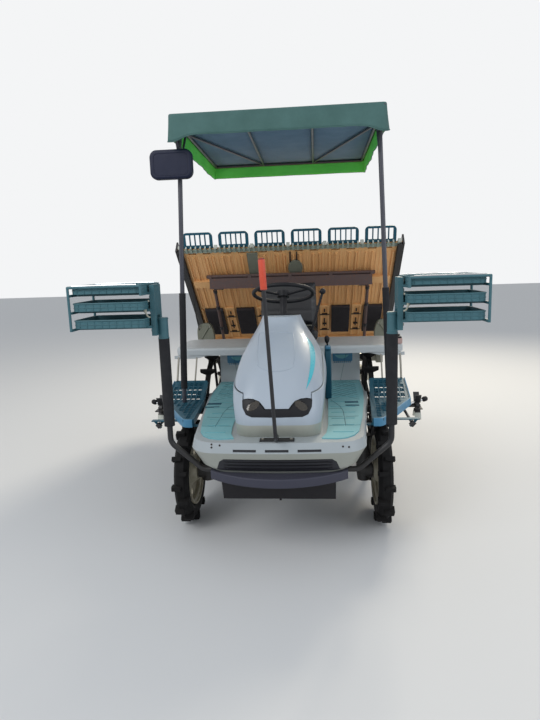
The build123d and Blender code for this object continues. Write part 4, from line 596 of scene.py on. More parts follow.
piece("lamp_bowls", "chassis", REFLECTOR, bowls)
piece("lamp_bulbs", "chassis", AMBER, bulbs)

# %% [markdown]
# ### Seat
# Vinyl over foam swells between its seams. We remesh the CAD block, let Blender's cloth inflate it a little
# under pressure, cap how far any point may go, and keep the result as a plain mesh. A sewn welt then
# follows the widest line, where the real cover is joined.

# %% Vinyl
VINYL, tree, shader = start("vinyl_black_grained")
where = add(tree, "ShaderNodeTexCoord").outputs["Object"]
pores = add(tree, "ShaderNodeTexVoronoi", {"Scale": per_mm(3.2), "Randomness": 1.0}, {"Vector": where})
creases = add(tree, "ShaderNodeTexNoise", {"Scale": per_mm(120), "Detail": 6.0}, {"Vector": where})
tint = add(tree, "ShaderNodeMix", data_type="RGBA", values={6: linear("#17181b"), 7: linear("#27282c")},
           links={0: creases.outputs[0]})
tree.links.new(tint.outputs[2], shader.inputs["Base Color"])
gloss = add(tree, "ShaderNodeMapRange", {1: 0.3, 2: 0.7, 3: 0.34, 4: 0.55}, {0: creases.outputs[0]})
tree.links.new(gloss.outputs[0], shader.inputs["Roughness"])
bump = add(tree, "ShaderNodeBump", {"Strength": 0.35, "Distance": 0.0004}, {"Height": pores.outputs[0]})
tree.links.new(bump.outputs[0], shader.inputs["Normal"])


# %% Inflating a pad
def pad(name, node, shrink, cap, seam_axis, channels=()):
    """A stuffed pad in a CAD solid's place: shrunk, inflated by cloth pressure and capped."""
    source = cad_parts[node]
    mesh = source.data.copy()
    obj = bpy.data.objects.new(name, mesh)
    bpy.context.scene.collection.objects.link(obj)
    low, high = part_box(node)
    centre = (low + high) / 2
    size = high - low
    for v in mesh.vertices:
        v.co = centre + Vector([(v.co[i] - centre[i]) * (1 - 2 * shrink / size[i]) for i in range(3)])
    bpy.context.view_layer.objects.active = obj
    obj.select_set(True)
    mesh.remesh_voxel_size = 0.0075
    bpy.ops.object.voxel_remesh()
    start_places = [v.co.copy() for v in obj.data.vertices]
    cloth = obj.modifiers.new("foam", "CLOTH")
    cloth.settings.use_pressure = True
    cloth.settings.uniform_pressure_force = 4.0
    cloth.settings.effector_weights.gravity = 0.0
    cloth.settings.quality = 4
    for step in range(1, 13):
        bpy.context.scene.frame_set(step)
    graph = bpy.context.evaluated_depsgraph_get()
    swollen = obj.evaluated_get(graph).data
    places = [v.co.copy() for v in swollen.vertices]
    obj.modifiers.clear()
    bpy.context.scene.frame_set(1)
    for v, old, new in zip(obj.data.vertices, start_places, places):
        move = new - old
        if move.length > cap:
            move = move.normalized() * cap
        v.co = old + move
    for line_axis, place, width, depth in channels:
        for v in obj.data.vertices:
            away = abs(v.co[line_axis] - place)
            inner = [i for i in range(3) if i not in (line_axis, seam_axis)][0]
            edge = min(v.co[inner] - low[inner], high[inner] - v.co[inner])
            if away < width and edge > 0.045:
                pull = (0.5 + 0.5 * cos(pi * away / width)) * depth
                v.co[seam_axis] -= pull if v.co[seam_axis] > centre[seam_axis] else -pull * 0.3
    for v in obj.data.vertices:
        for i in range(3):
            v.co[i] = max(low[i] + 0.0005, min(high[i] - 0.0005, v.co[i]))
    smoother = obj.modifiers.new("smooth", "SMOOTH")
    smoother.factor = 0.5
    smoother.iterations = 3
    obj.data.shade_smooth()
    obj.data.materials.clear()
    obj.data.materials.append(VINYL)
    obj.select_set(False)
    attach(obj, "chassis")
    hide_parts(node)
    print(name, len(obj.data.vertices), "points")
    return obj


def welt(name, pad_piece, corner_points, radius=0.0035):
    """A sewn welt that follows a rounded outline on the pad."""
    tree = BVHTree.FromPolygons([v.co.copy() for v in pad_piece.data.vertices],
                                [tuple(p.vertices) for p in pad_piece.data.polygons])
    line = []
    for a, b in zip(corner_points, corner_points[1:] + corner_points[:1]):
        a, b = Vector(a), Vector(b)
        for s in range(10):
            line.append(a.lerp(b, s / 10))
    path = [tree.find_nearest(p)[0] for p in line]
    eased = []
    for i in range(len(path)):
        eased.append((path[i - 1] + path[i] * 2 + path[(i + 1) % len(path)]) / 4)
    return piece(name, "chassis", VINYL, [sweep(eased, radius, 8, closed=True)])


# %% Seat pads
cushion = pad("seat_pad", "seat_cushion", 0.009, 0.012, 2,
              ((1, 0.055, 0.018, 0.009), (0, -0.125, 0.015, 0.006), (0, 0.125, 0.015, 0.006)))
low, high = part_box("seat_cushion")
z = high.z - 0.032
CUT = 0.03
welt("seat_pad_welt", cushion,
     [(low.x + CUT, low.y, z), (high.x - CUT, low.y, z), (high.x, low.y + CUT, z), (high.x, high.y - CUT, z),
      (high.x - CUT, high.y, z), (low.x + CUT, high.y, z), (low.x, high.y - CUT, z), (low.x, low.y + CUT, z)])
pad("seat_back_pad", "seat_back", 0.007, 0.01, 1, ((2, 1.25, 0.018, 0.007), (2, 1.36, 0.018, 0.007)))

# %% [markdown]
# ### Canopy
# The roof is one sheet of coated polyester, sewn at its corners and laid over the tube frame, so its sides
# hang as a valance. Simulated cloth would slide off such thin tubes, so we drape it by rule: it touches the
# tubes, sags a little with its distance from them, turns down over a soft edge, and waves as it hangs. The
# corners at the front are gathered and hang lower.

# %% Woven finish
def wave_scale(size):
    """Wave texture scale for bands of a size in millimetres: Blender's bands repeat every 0.314 / scale."""
    return 314.16 / size


def woven(name, base, faded, thread, rough, sheen, folds=260, ior=1.4):
    """A coated plain weave. Real threads are half a millimetre, and we draw them four times that to show."""
    material, tree, shader = start(name)
    where = add(tree, "ShaderNodeTexCoord").outputs["Object"]
    total = None
    for direction in "XYZ":
        threads = add(tree, "ShaderNodeTexWave",
                      {"Scale": wave_scale(thread), "Distortion": 1.2, "Detail": 1.0},
                      {"Vector": where}, bands_direction=direction)
        if total is None:
            total = threads.outputs[1]
        else:
            total = add(tree, "ShaderNodeMath", operation="ADD",
                        links={0: total, 1: threads.outputs[1]}).outputs[0]
    clouds = add(tree, "ShaderNodeTexNoise", {"Scale": per_mm(folds), "Detail": 5.0, "Roughness": 0.65},
                 {"Vector": where})
    share = add(tree, "ShaderNodeMapRange", {1: 0.35, 2: 0.7, 3: 0.0, 4: 1.0}, {0: clouds.outputs[0]})
    tint = add(tree, "ShaderNodeMix", data_type="RGBA", values={6: linear(base), 7: linear(faded)},
               links={0: share.outputs[0]})
    tree.links.new(tint.outputs[2], shader.inputs["Base Color"])
    gloss = add(tree, "ShaderNodeMapRange", {1: 0.3, 2: 0.7, 3: rough - 0.08, 4: rough + 0.1},
                {0: clouds.outputs[0]})
    tree.links.new(gloss.outputs[0], shader.inputs["Roughness"])
    soft = add(tree, "ShaderNodeBump", {"Strength": 0.6, "Distance": 0.004}, {"Height": clouds.outputs[0]})
    bump = add(tree, "ShaderNodeBump", {"Strength": 0.3, "Distance": 0.0005},
               {"Height": total, "Normal": soft.outputs[0]})
    tree.links.new(bump.outputs[0], shader.inputs["Normal"])
    shader.inputs["Sheen Weight"].default_value = sheen
    shader.inputs["IOR"].default_value = ior
    return material


CANOPY_GREEN = woven("polyester_canopy_green", "#3c5f5b", "#4e716e", 2.0, 0.7, 0.08)
CANOPY_LINING = woven("polyester_lining_slate", "#58738a", "#688299", 2.0, 0.85, 0.0, ior=1.15)
# The valance's inner face is drawn a brighter green than the cloth: painted light for the sun shining through
# the cloth from behind.
CANOPY_PAINTED_BACKLIGHT = woven("polyester_green_painted_backlight", "#66e062", "#74ea70", 2.0, 0.7, 0.0, ior=1.2)

# %% Canopy cloth
low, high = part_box("canopy_cover")
ROOF_FALL = 0.040
ROOF_EDGE = 0.012
roof_x = high.x - 0.001 - ROOF_EDGE
roof_y0, roof_y1 = low.y + 0.001 + ROOF_EDGE, high.y - 0.001 - ROOF_EDGE
TUBE_X, INNER_TUBE_X = 0.638, 0.215
TUBE_FRONT, TUBE_BACK, BRACE_END = -0.752, 0.782, -0.34
SAG = 0.012
TUBES = [((-TUBE_X, y), (TUBE_X, y)) for y in (TUBE_FRONT, TUBE_BACK)]
for side in (-1, 1):
    outer, inner = side * TUBE_X, side * INNER_TUBE_X
    TUBES += [((outer, TUBE_FRONT), (outer, TUBE_BACK)), ((inner, TUBE_FRONT), (inner, TUBE_BACK)),
              ((inner, TUBE_BACK), (outer, BRACE_END))]


def bell(distance, width):
    """A bell curve: one where the distance is nothing, and gone after twice the width."""
    return 2.718 ** -((distance / width) ** 2)


def roof_height(x, y):
    """The cloth's height: on the tubes it follows their slope, and between them it sags."""
    nearest = 1.0
    for start_point, end_point in TUBES:
        a, b, p = Vector(start_point), Vector(end_point), Vector((x, y))
        along = max(0.0, min(1.0, (p - a).dot(b - a) / (b - a).length_squared))
        nearest = min(nearest, (p - a.lerp(b, along)).length)
    sag = SAG * (1 - bell(nearest, 0.09))
    return high.z - ROOF_FALL * (y - low.y) / (high.y - low.y) - 0.002 - sag


def stations(first, last, count, corner=ROOF_EDGE):
    """Grid lines from edge to edge, with two close together at each corner."""
    inner = [first + corner + (last - first - 2 * corner) * i / count for i in range(count + 1)]
    return [first, first + corner * 0.35, first + corner * 0.7] + inner + [last - corner * 0.7,
                                                                         last - corner * 0.35, last]


def rounded(value, first, last, corner=ROOF_EDGE):
    """How far into a corner's square a place is, from -1 to 1, and the square's inner edge."""
    if value < first + corner:
        return (value - first - corner) / corner, first + corner
    if value > last - corner:
        return (value - last + corner) / corner, last - corner
    return 0.0, value


xs = stations(-roof_x, roof_x, 42)
ys = stations(roof_y0, roof_y1, 50)
verts, outward = [], []
for y in ys:
    for x in xs:
        dx, base_x = rounded(x, -roof_x, roof_x)
        dy, base_y = rounded(y, roof_y0, roof_y1)
        if dx and dy:
            x_new, y_new = dx * (1 - dy * dy / 2) ** 0.5, dy * (1 - dx * dx / 2) ** 0.5
            x, y = base_x + x_new * ROOF_EDGE, base_y + y_new * ROOF_EDGE
            outward.append(Vector((x_new, y_new, 0)))
        else:
            outward.append(Vector((dx, dy, 0)))
        verts.append((x, y, roof_height(x, y)))
wide, deep = len(xs), len(ys)
faces = quads(deep, wide)
roof_faces = len(faces)
loop = list(range(wide)) + [j * wide + wide - 1 for j in range(1, deep)]
loop += [(deep - 1) * wide + i for i in range(wide - 2, -1, -1)]
loop += [j * wide for j in range(deep - 2, 0, -1)]


VALANCE = 0.118


def hanging(place, normal):
    """The valance at one place: how far it hangs, how far it flares, and its wave."""
    x, y = place.x, place.y
    at_front = max(0.0, -normal.y)
    at_back = max(0.0, normal.y)
    corner = bell(((abs(x) - 0.64) ** 2 + (y + 0.755) ** 2) ** 0.5, 0.075)
    hang = VALANCE + 0.012 * at_front - 0.008 * at_back + 0.038 * corner
    flare = 0.004 + 0.013 * bell(y + 0.76, 0.25) * (1 if abs(x) > 0.4 else 0.5)
    turn_by = x * 17.0 + y * 13.0
    wave = 0.004 * sin(turn_by) + 0.0022 * sin(turn_by * 2.7 + 1.0) + 0.006 * corner * sin((x - y) * 170)
    return hang, flare, wave


rings = []
for k in range(1, 5):
    angle = pi / 2 * k / 4
    rings.append((ROOF_EDGE * sin(angle), ROOF_EDGE * (1 - cos(angle)), 0.0))
for k in range(1, 10):
    rings.append((ROOF_EDGE, ROOF_EDGE, k / 9))
previous = loop
for out, drop, share in rings:
    ring = []
    for index in loop:
        place = Vector(verts[index])
        normal = outward[index].normalized()
        hang, flare, wave = hanging(place, normal)
        push = out + (flare + wave) * share ** 1.2
        down = drop + (hang - ROOF_EDGE) * share
        ring.append(len(verts))
        verts.append(tuple(place + normal * push - Vector((0, 0, down))))
    for i in range(len(loop)):
        j = (i + 1) % len(loop)
        faces.append((previous[i], ring[i], ring[j], previous[j]))
    previous = ring
cloth = piece("canopy_cloth", "chassis", CANOPY_GREEN, [(verts, faces)])
for material in (CANOPY_GREEN, CANOPY_LINING, CANOPY_PAINTED_BACKLIGHT):
    cloth.data.materials.append(material)
for polygon in cloth.data.polygons:
    polygon.material_index = 0 if polygon.index < roof_faces else 1
# The inner face of the cloth takes the slate lining under the roof and the painted backlight green inside the
# valance.
thick = cloth.modifiers.new("thickness", "SOLIDIFY")
thick.thickness = 0.0028
thick.offset = -1
thick.material_offset = 2
thick.material_offset_rim = 0
hem = piece("canopy_hem", "chassis", CANOPY_GREEN,
            [sweep([verts[i] for i in previous], 0.0032, 6, closed=True)])
fabric_area = sum(p.area for p in cloth.data.polygons)
print("canopy cloth area", round(fabric_area, 3), "first normal", cloth.data.polygons[0].normal.z)
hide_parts("canopy_cover")

# %% [markdown]
# ### Seedling table
# The moulded table is stiffened below by fine ridges that run down its slope, and its top edge is clipped to
# a grey rail. We lay all of it out in the table's own directions: across, down the slope, and out of it.

# %% On the slope
SLOPE = radians(42.8)
ROW_PITCH = 0.3
ROW_CENTRES = [(row - 2.5) * ROW_PITCH for row in range(6)]
LANE_EDGES = [(row - 3) * ROW_PITCH for row in range(7)]
TABLE_TOP = Vector((0, 0.360, 1.762))
DOWN = Vector((0, cos(SLOPE), -sin(SLOPE)))
OUT = Vector((0, sin(SLOPE), cos(SLOPE)))


def on_slope(x, down, out):
    """A place on the table: across, down the slope from its top edge, and out of its lower face."""
    return TABLE_TOP + Vector((x, 0, 0)) + DOWN * down + OUT * out


def slope_plate(x0, x1, down0, down1, out0, out1):
    """A box laid out along the table."""
    verts, faces = plate((x0, down0, out0), (x1, down1, out1))
    return [tuple(on_slope(*v)) for v in verts], faces


# %% Ridges below the table
ridges = []
for i in range(-30, 31):
    x = i * 0.0301 + 0.004
    lane = abs((x + 0.9) % ROW_PITCH - ROW_PITCH / 2)
    if min(abs(lane - 0.055), abs(lane - 0.110)) > 0.013:
        width = 0.0022 + 0.001 * sin(i * 1.7)
        ridges.append(slope_plate(x - width, x + width, 0.074, 0.764, -0.0042, 0.0004))
piece("table_ridges", "table", OCHRE, ridges, bevel=0.0008, segments=1)
print("ridges", len(ridges))

# %% Top rail and its clips
RAIL_END = 0.905
CLIP_PITCH = 0.0405
rail = [slope_plate(-0.922, 0.922, 0.002, 0.034, -0.0075, 0.0004)]
clips, tips = [], []
for i in range(-22, 23):
    x = i * CLIP_PITCH
    clips.append(slope_plate(x - 0.0095, x + 0.0095, -0.012, 0.030, -0.0165, -0.007))
    clips.append(slope_plate(x - 0.0065, x + 0.0065, -0.022, -0.008, -0.0150, 0.012))
    tips.append(slope_plate(x - 0.0055, x + 0.0055, -0.0275, -0.0205, -0.0135, 0.010))
for x in [max(-RAIL_END, min(RAIL_END, edge)) for edge in LANE_EDGES]:
    tips.append(slope_plate(x - 0.014, x + 0.014, -0.036, -0.018, -0.0175, 0.015))
piece("table_top_rail", "table", CLIP_GREY, rail + clips, bevel=0.0016)
NYLON_PALE = worn("nylon_tip_pale", "#d5d8cf", "#c3c6bb", "#9c9a8a", 0.5, cloud=20, dust_share=0.2)
piece("table_clip_tips", "table", NYLON_PALE, tips, bevel=0.0018)

# Dark plates inside the slots are painted shade: they stand for the dark seen through the slots.
shades = []
for centre in ROW_CENTRES:
    for dx in (-0.062, 0.062):
        x = centre + dx
        shades.append(slope_plate(x - 0.0338, x + 0.0338, 0.0442, 0.0598, 0.013, 0.0165))
SHADE = worn("polypropylene_shaded_brown", "#2c2420", "#241e1b", "#3c342c", 0.7, cloud=30, dust_share=0.2)
piece("table_slot_shades", "table", SHADE, shades)

# %% Lane ends
lane_parts, lane_dark = [], []
for centre in LANE_EDGES:
    for dx in (-0.036, 0.036):
        x = centre + dx
        if abs(x) < 0.9:
            lane_parts.append(slope_plate(x - 0.009, x + 0.009, 0.80, 1.262, -0.013, 0.0004))
    if abs(centre) < 0.85:
        lane_parts.append(slope_plate(centre - 0.046, centre + 0.046, 0.772, 0.800, -0.015, 0.0004))
        lane_dark.append(slope_plate(centre - 0.045, centre + 0.045, 0.905, 0.921, -0.0155, -0.0005))
        lane_dark.append(slope_plate(centre - 0.006, centre + 0.006, 0.84, 0.884, -0.008, 0.0004))
        lane_dark.append(slope_plate(centre - 0.005, centre + 0.005, 0.985, 1.105, -0.010, 0.0004))
        lane_dark.append(slope_plate(centre - 0.020, centre + 0.020, 1.06, 1.076, -0.0112, 0.0004))
        lane_dark.append(slope_plate(centre - 0.046, centre + 0.046, 1.150, 1.164, -0.0155, -0.0005))
piece("table_lane_ribs", "table", OCHRE, lane_parts, bevel=0.0015)
piece("table_lane_marks", "table", SHADE, lane_dark, bevel=0.001, segments=1)

# %% Channels along the table's sides
channels = []
for side in (-1, 1):
    x0, x1 = sorted((side * 0.884, side * 0.9245))
    channels.append(slope_plate(x0, x1, -0.006, 1.268, -0.034, 0.0004))
piece("table_side_channels", "table", ENAMEL_BLACK, channels, bevel=0.004)

# %% [markdown]
# The belts that carry the seedling mats down are ribbed rubber. A rib every sixteen millimetres, with its
# edge rounded, is what the camera sees of them.

# %% Belt ribs
ribs = []
for centre in ROW_CENTRES:
    down = 0.790
    while down < 1.172:
        ribs.append(slope_plate(centre - 0.084, centre + 0.084, down, down + 0.007, -0.0375, -0.0330))
        down += 0.016
piece("belt_ribs", "table", BELT_BLACK, ribs, bevel=0.0015, segments=1)

# %% [markdown]
# ### Seedling racks
# Each tray is a moulded box with a rolled rim, ribs on its walls and a ribbed floor. We build one side and
# mirror it. The racks turn on their posts, so each side's pieces ride on its own body.

# %% Rack trays
TRAY_X = (0.676, 1.057)
TRAY_Y = (-1.430, -1.130)
TRAY_LEVELS = (1.318, 1.408, 1.498)


def round_outline(x0, x1, y0, y1, radius, z, steps=5):
    """A rounded rectangle as a closed list of points."""
    points = []
    for cx, cy, first in ((x1 - radius, y1 - radius, 0), (x0 + radius, y1 - radius, 90),
                          (x0 + radius, y0 + radius, 180), (x1 - radius, y0 + radius, 270)):
        for k in range(steps + 1):
            a = radians(first + 90 * k / steps)
            points.append((cx + radius * cos(a), cy + radius * sin(a), z))
    return points


tray_parts, tray_floor, rack_highlight_rods, rack_bolts = [], [], [], []
for z in TRAY_LEVELS:
    rim = round_outline(TRAY_X[0], TRAY_X[1], TRAY_Y[0], TRAY_Y[1], 0.024, z + 0.0405)
    tray_parts.append(sweep(rim, 0.0042, 8, closed=True))
    bead = round_outline(TRAY_X[0] - 0.0005, TRAY_X[1] + 0.0005, TRAY_Y[0] - 0.0005, TRAY_Y[1] + 0.0005,
                         0.024, z + 0.019)
    tray_parts.append(sweep(bead, 0.0022, 6, closed=True))
    for i in range(9):
        x = 0.708 + i * 0.0395
        for y0, y1 in ((TRAY_Y[0] - 0.0028, TRAY_Y[0] + 0.001), (TRAY_Y[1] - 0.001, TRAY_Y[1] + 0.0028)):
            tray_parts.append(plate((x - 0.002, y0, z + 0.003), (x + 0.002, y1, z + 0.037)))
    for i in range(6):
        x = 0.693 + i * 0.074
        if x < 1.05:
            tray_floor.append(plate((x - 0.004, -1.418, z + 0.0048), (x + 0.004, -1.142, z + 0.0115)))
    for y in (-1.385, -1.28, -1.175):
        tray_floor.append(plate((0.69, y - 0.003, z + 0.0048), (1.043, y + 0.003, z + 0.0105)))
# Chrome rods along the front and back of each rack's top stand for the silver highlight on its teal top rail:
# a painted highlight.
for y in (-1.442, -1.118):
    rack_highlight_rods.append(sweep([(0.70, y, 1.5415), (0.86, y, 1.5428), (1.045, y, 1.5415)], 0.0042, 8))
for y in (-1.325, -1.235):
    for z in (1.29, 1.39, 1.47, 1.515):
        rack_bolts.append(spin(head_profile(0.008, 0.005, 0.0018, 0.0015), (0.6655, y, z), (1, 0, 0), 6))
lever_path = smooth_line([(0.668, -1.345, 1.452), (0.684, -1.352, 1.44), (0.690, -1.356, 1.405),
                          (0.682, -1.352, 1.372), (0.668, -1.345, 1.362)], 4)
grip_path = [(0.689, -1.3555, 1.42), (0.6902, -1.3562, 1.405), (0.689, -1.3555, 1.39)]
rack_lever = [sweep(lever_path, 0.0045, 8), sweep(grip_path, [0.008, 0.009, 0.008], 10)]
for name, side in SIDES:
    body = "rack_" + name
    piece("tray_rims_" + name, body, TRAY_TEAL, on_side(tray_parts, side), bevel=0.0006,
          segments=1)
    piece("tray_floor_ribs_" + name, body, TRAY_TEAL, on_side(tray_floor, side), bevel=0.001,
          segments=1)
    piece("rack_painted_highlight_rods_" + name, body, CHROME, on_side(rack_highlight_rods, side))
    piece("rack_bolts_" + name, body, ZINC, on_side(rack_bolts, side))
    piece("rack_lever_" + name, body, FLOAT_WHITE, on_side(rack_lever, side))

# %% Post caps and collars
POST_X, POST_Y, POST_TOP = 0.62, -1.28, 1.34
COLLAR_HEIGHTS = (1.242, 1.346)
POST_CAP = [(0.0, 0.010), (0.010, 0.010), (0.0155, 0.007), (0.0172, 0.001), (0.0172, -0.012), (0.0, -0.012)]
COLLAR = [(0.0283, -0.004), (0.0305, -0.003), (0.0305, 0.003), (0.0283, 0.004)]
caps = [spin(POST_CAP, (side * POST_X, POST_Y, POST_TOP), (0, 0, 1), 24) for side in (-1, 1)]
piece("rack_post_caps", "chassis", ABS_BLACK, caps)
for name, side in SIDES:
    rings = [spin(COLLAR, (side * POST_X, POST_Y, z), (0, 0, 1), 28) for z in COLLAR_HEIGHTS]
    piece("rack_collar_rings_" + name, "rack_" + name, ENAMEL_TEAL, rings)

# %% [markdown]
# ### Side steps
# A step is a moulded grid with a deep rounded lip, so that a boot finds its edge. The lip follows the grid's
# outline, first level and then rising toward the rear wheel.

# %% Step lips and grid
def step_rise(y):
    """How far the step stands above the deck at a place along it."""
    return max(0.0, (y + 0.54) / 0.255 * 0.085)


def lip_strip(path, low, high, thickness):
    """An upright strip along a path, with its outer face pushed outward by its thickness."""
    verts = []
    count = len(path)
    for i, (x, y) in enumerate(path):
        before = Vector(path[max(0, i - 1)])
        after = Vector(path[min(count - 1, i + 1)])
        along = (after - before).normalized()
        out = Vector((-along.y, along.x)) * -thickness
        rise = step_rise(y)
        for push, z in ((0, low), (1.6, low + 0.004), (1, high), (0, high)):
            verts.append((x + out.x * push, y + out.y * push, z + rise))
    return verts, quads(count, 4, around=True) + end_caps(count, 4)


OUTLINE = smooth_line([(0.548, -1.041), (0.575, -1.042), (0.600, -1.034), (0.632, -0.985), (0.70, -0.85),
                       (0.77, -0.71), (0.822, -0.605), (0.843, -0.555), (0.8455, -0.50), (0.8455, -0.40),
                       (0.8455, -0.292)], 3)
lips = both_sides(lip_strip(OUTLINE, 0.652, 0.7015, 0.004))
rail = sweep([(x, y, 0.7015 + step_rise(y)) for x, y in OUTLINE], 0.0034, 8)
lips += both_sides(rail)
piece("step_lips", "chassis", STEP_LIP, lips)
grid = []
for row in range(12):
    y = -1.040 + 0.066 + row * 0.058
    x0 = 0.540 + 0.054 * (y + 1.04) / 0.755 + 0.022
    x1 = 0.605 + 0.24 * min(1.0, (y + 1.04) / 0.48) - 0.022
    if x1 - x0 > 0.03:
        z = 0.7005 + step_rise(y)
        grid += both_sides(bar((x0, y, z - 0.004), (x1, y, z - 0.004), 0.0055, 0.009))
for k in range(8):
    x = 0.585 + 0.036 * k
    y_first = -1.005 + max(0.0, x - 0.585) * 2.0
    first, bend, last = (x, y_first, 0.7015), (x, -0.54, 0.7015), (x, -0.31, 0.7015 + step_rise(-0.31))
    if y_first < -0.56:
        grid += both_sides(bar(first, bend, 0.0032, 0.003))
    grid += both_sides(bar(bend, last, 0.0032, 0.003))
piece("step_grid", "chassis", STEP_TEAL, grid, bevel=0.001, segments=1)

# %% [markdown]
# ### Floor mats
# The mats are rubber with a pressed pattern: broad cross grooves in front and a lattice behind. The shade in
# a groove shows as a dark line, so we lay a low bead of painted shade where each one runs, and the mat's own
# colour surrounds it.

# %% Mat pattern
# A darker teal for the groove lines: painted shade in the grooves.
MAT_GROOVE_SHADE = worn("rubber_mat_groove_shade", "#33636c", "#3b6c75", "#6c7c76", 0.7, cloud=60, dust_share=0.15)
mat_tree = surface("floor_mats")


def on_mat(x, y, lift=0.0004):
    """A place on top of the mat."""
    point, normal = hit(mat_tree, (x, y, 1.0), (0, 0, -1))
    return None if point is None else (x, y, point.z + lift)


def mat_line(points, radius=0.0019, steps=6):
    path = [on_mat(x, y) for x, y in smooth_line(points, steps)]
    path = [p for p in path if p is not None]
    return [sweep(path, radius, 6, flat=0.55)] if len(path) > 2 else []


grooves = []
for side in (-1, 1):
    for y in (-1.19, -1.01):
        grooves += mat_line([(side * 0.262, y - 0.004), (side * 0.33, y), (side * 0.366, y)])
        grooves += mat_line([(side * 0.384, y), (side * 0.42, y), (side * 0.462, y + 0.008)])
    grooves += mat_line([(side * 0.375, -1.20), (side * 0.376, -1.0), (side * 0.374, -0.87),
                         (side * 0.352, -0.74), (side * 0.31, -0.62)])
    grooves += mat_line([(side * 0.27, -0.835), (side * 0.33, -0.83), (side * 0.372, -0.83)])
    for i in range(9):
        y = -0.60 + i * 0.062
        grooves += mat_line([(side * 0.30, y), (side * 0.40, y + 0.11), (side * 0.50, y + 0.22)], 0.0015)
        grooves += mat_line([(side * 0.50, y), (side * 0.40, y + 0.11), (side * 0.30, y + 0.22)], 0.0015)
piece("mat_grooves", "chassis", MAT_GROOVE_SHADE, grooves)
slots_dark, slots_pale = [], []
for side, x0, x1, y in ((1, 0.398, 0.486, -0.668), (-1, 0.428, 0.524, -0.680)):
    for dy, depth, group in ((0, 0.040, slots_dark), (-0.085, 0.022, slots_dark),
                             (-0.062, 0.020, slots_pale)):
        a, b = sorted((side * x0, side * x1))
        ground = on_mat((a + b) / 2, y + dy)
        if ground:
            group.append(plate((a, y + dy - depth / 2, ground[2] - 0.001), (b, y + dy + depth / 2,
                                                                            ground[2] + 0.0022)))
piece("mat_foot_slots", "chassis", STEP_TEAL, slots_dark, bevel=0.0009, segments=1)
piece("mat_foot_bars", "chassis", MAT_TEAL, slots_pale, bevel=0.002)

# %% [markdown]
# ### Driver's small parts
# Beside the hood stands the teal guide of the planting lever, and the rear cowl carries two ribbed pads for
# the feet. A small switch box stands on the fender at the driver's left.

# %% Lever guide and pads
guide_side = [(-0.565, 0.702), (-0.60, 0.90), (-0.585, 1.0), (-0.545, 1.055), (-0.49, 1.062), (-0.46, 1.0),
              (-0.45, 0.86), (-0.43, 0.702)]
guide = prism([(0.272, y, z) for y, z in guide_side], [(0.315, y, z) for y, z in guide_side])
piece("lever_guide", "chassis", STEP_TEAL, [guide], bevel=0.008, segments=3)
piece("lever_guide_top", "chassis", STEP_LIP,
      [plate((0.277, -0.572, 1.046), (0.310, -0.474, 1.066))], bevel=0.006, segments=3)
knob = [(0.0, 0.052), (0.009, 0.05), (0.0165, 0.04), (0.018, 0.026), (0.014, 0.010), (0.0075, 0.0),
        (0.0, 0.0)]
piece("planting_knob", "chassis", ABS_BLACK,
      [sweep([(0.293, -0.52, 1.05), (0.290, -0.522, 1.088)], 0.0055, 10),
       spin(knob, (0.290, -0.522, 1.082), (-0.05, 0, 1), 24)])

pads = []
cowl_tree = surface("rear_cowl")
PAD_IN, PAD_OUT = 0.352, 0.490
PAD_ROWS, PAD_COLUMNS = 7, 9
for side in (1, -1):
    for row in range(PAD_ROWS):
        for column in range(PAD_COLUMNS):
            x = side * (PAD_IN + (PAD_OUT - PAD_IN) * (column + 0.5) / PAD_COLUMNS)
            z = 0.838 + 0.070 * (row + 0.5) / PAD_ROWS
            point, normal = hit(cowl_tree, (x, -0.6, z), (0, 1, 0))
            if point is not None:
                pads.append(plate((x - 0.0055, point.y - 0.0045, z - 0.0035),
                                  (x + 0.0055, point.y + 0.001, z + 0.0035)))
    a, b = sorted((side * (PAD_IN - 0.008), side * (PAD_OUT + 0.008)))
    point, normal = hit(cowl_tree, ((a + b) / 2, -0.6, 0.872), (0, 1, 0))
    pads.append(plate((a, point.y - 0.0025, 0.832), (b, point.y + 0.004, 0.914)))
piece("cowl_ribbed_pads", "chassis", STEP_LIP, pads, bevel=0.0012, segments=1)

# %% Fender parts
fender_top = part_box("rear_fenders")[1].z
box_body = [plate((0.800, -0.150, fender_top - 0.001), (0.852, -0.055, fender_top + 0.040))]
PINKISH = worn("abs_faded_rose", "#b79a95", "#a98c87", "#8f8478", 0.5, cloud=30, dust_share=0.3)
piece("fender_switch_box", "chassis", PINKISH, box_body, bevel=0.006, segments=3)
piece("fender_switch_cap", "chassis", ABS_BLACK,
      [plate((0.804, -0.146, fender_top + 0.038), (0.848, -0.060, fender_top + 0.052)),
       spin(head_profile(0.014, 0.014, 0.004, 0.005), (0.826, -0.10, fender_top + 0.050), (0, 0, 1), 24)],
      bevel=0.004)

# %% [markdown]
# ### Mirror
# The photo shows the mirror from behind: a moulded housing with a raised panel and two clamps. Its glass
# faces the driver.

# %% Mirror
MIRROR_X, MIRROR_Z = -0.673, 2.26
HOUSING = worn("abs_navy_moulded", "#141a30", "#1a2038", "#4c4f5c", 0.45, cloud=60, dust_share=0.1, ior=1.35)
dress("mirror", HOUSING)


def on_mirror(half_width, half_height, radius):
    """A rounded outline of (x, z) places round the mirror's middle."""
    return [point[:2] for point in round_outline(MIRROR_X - half_width, MIRROR_X + half_width,
                                                 MIRROR_Z - half_height, MIRROR_Z + half_height, radius, 0.0)]


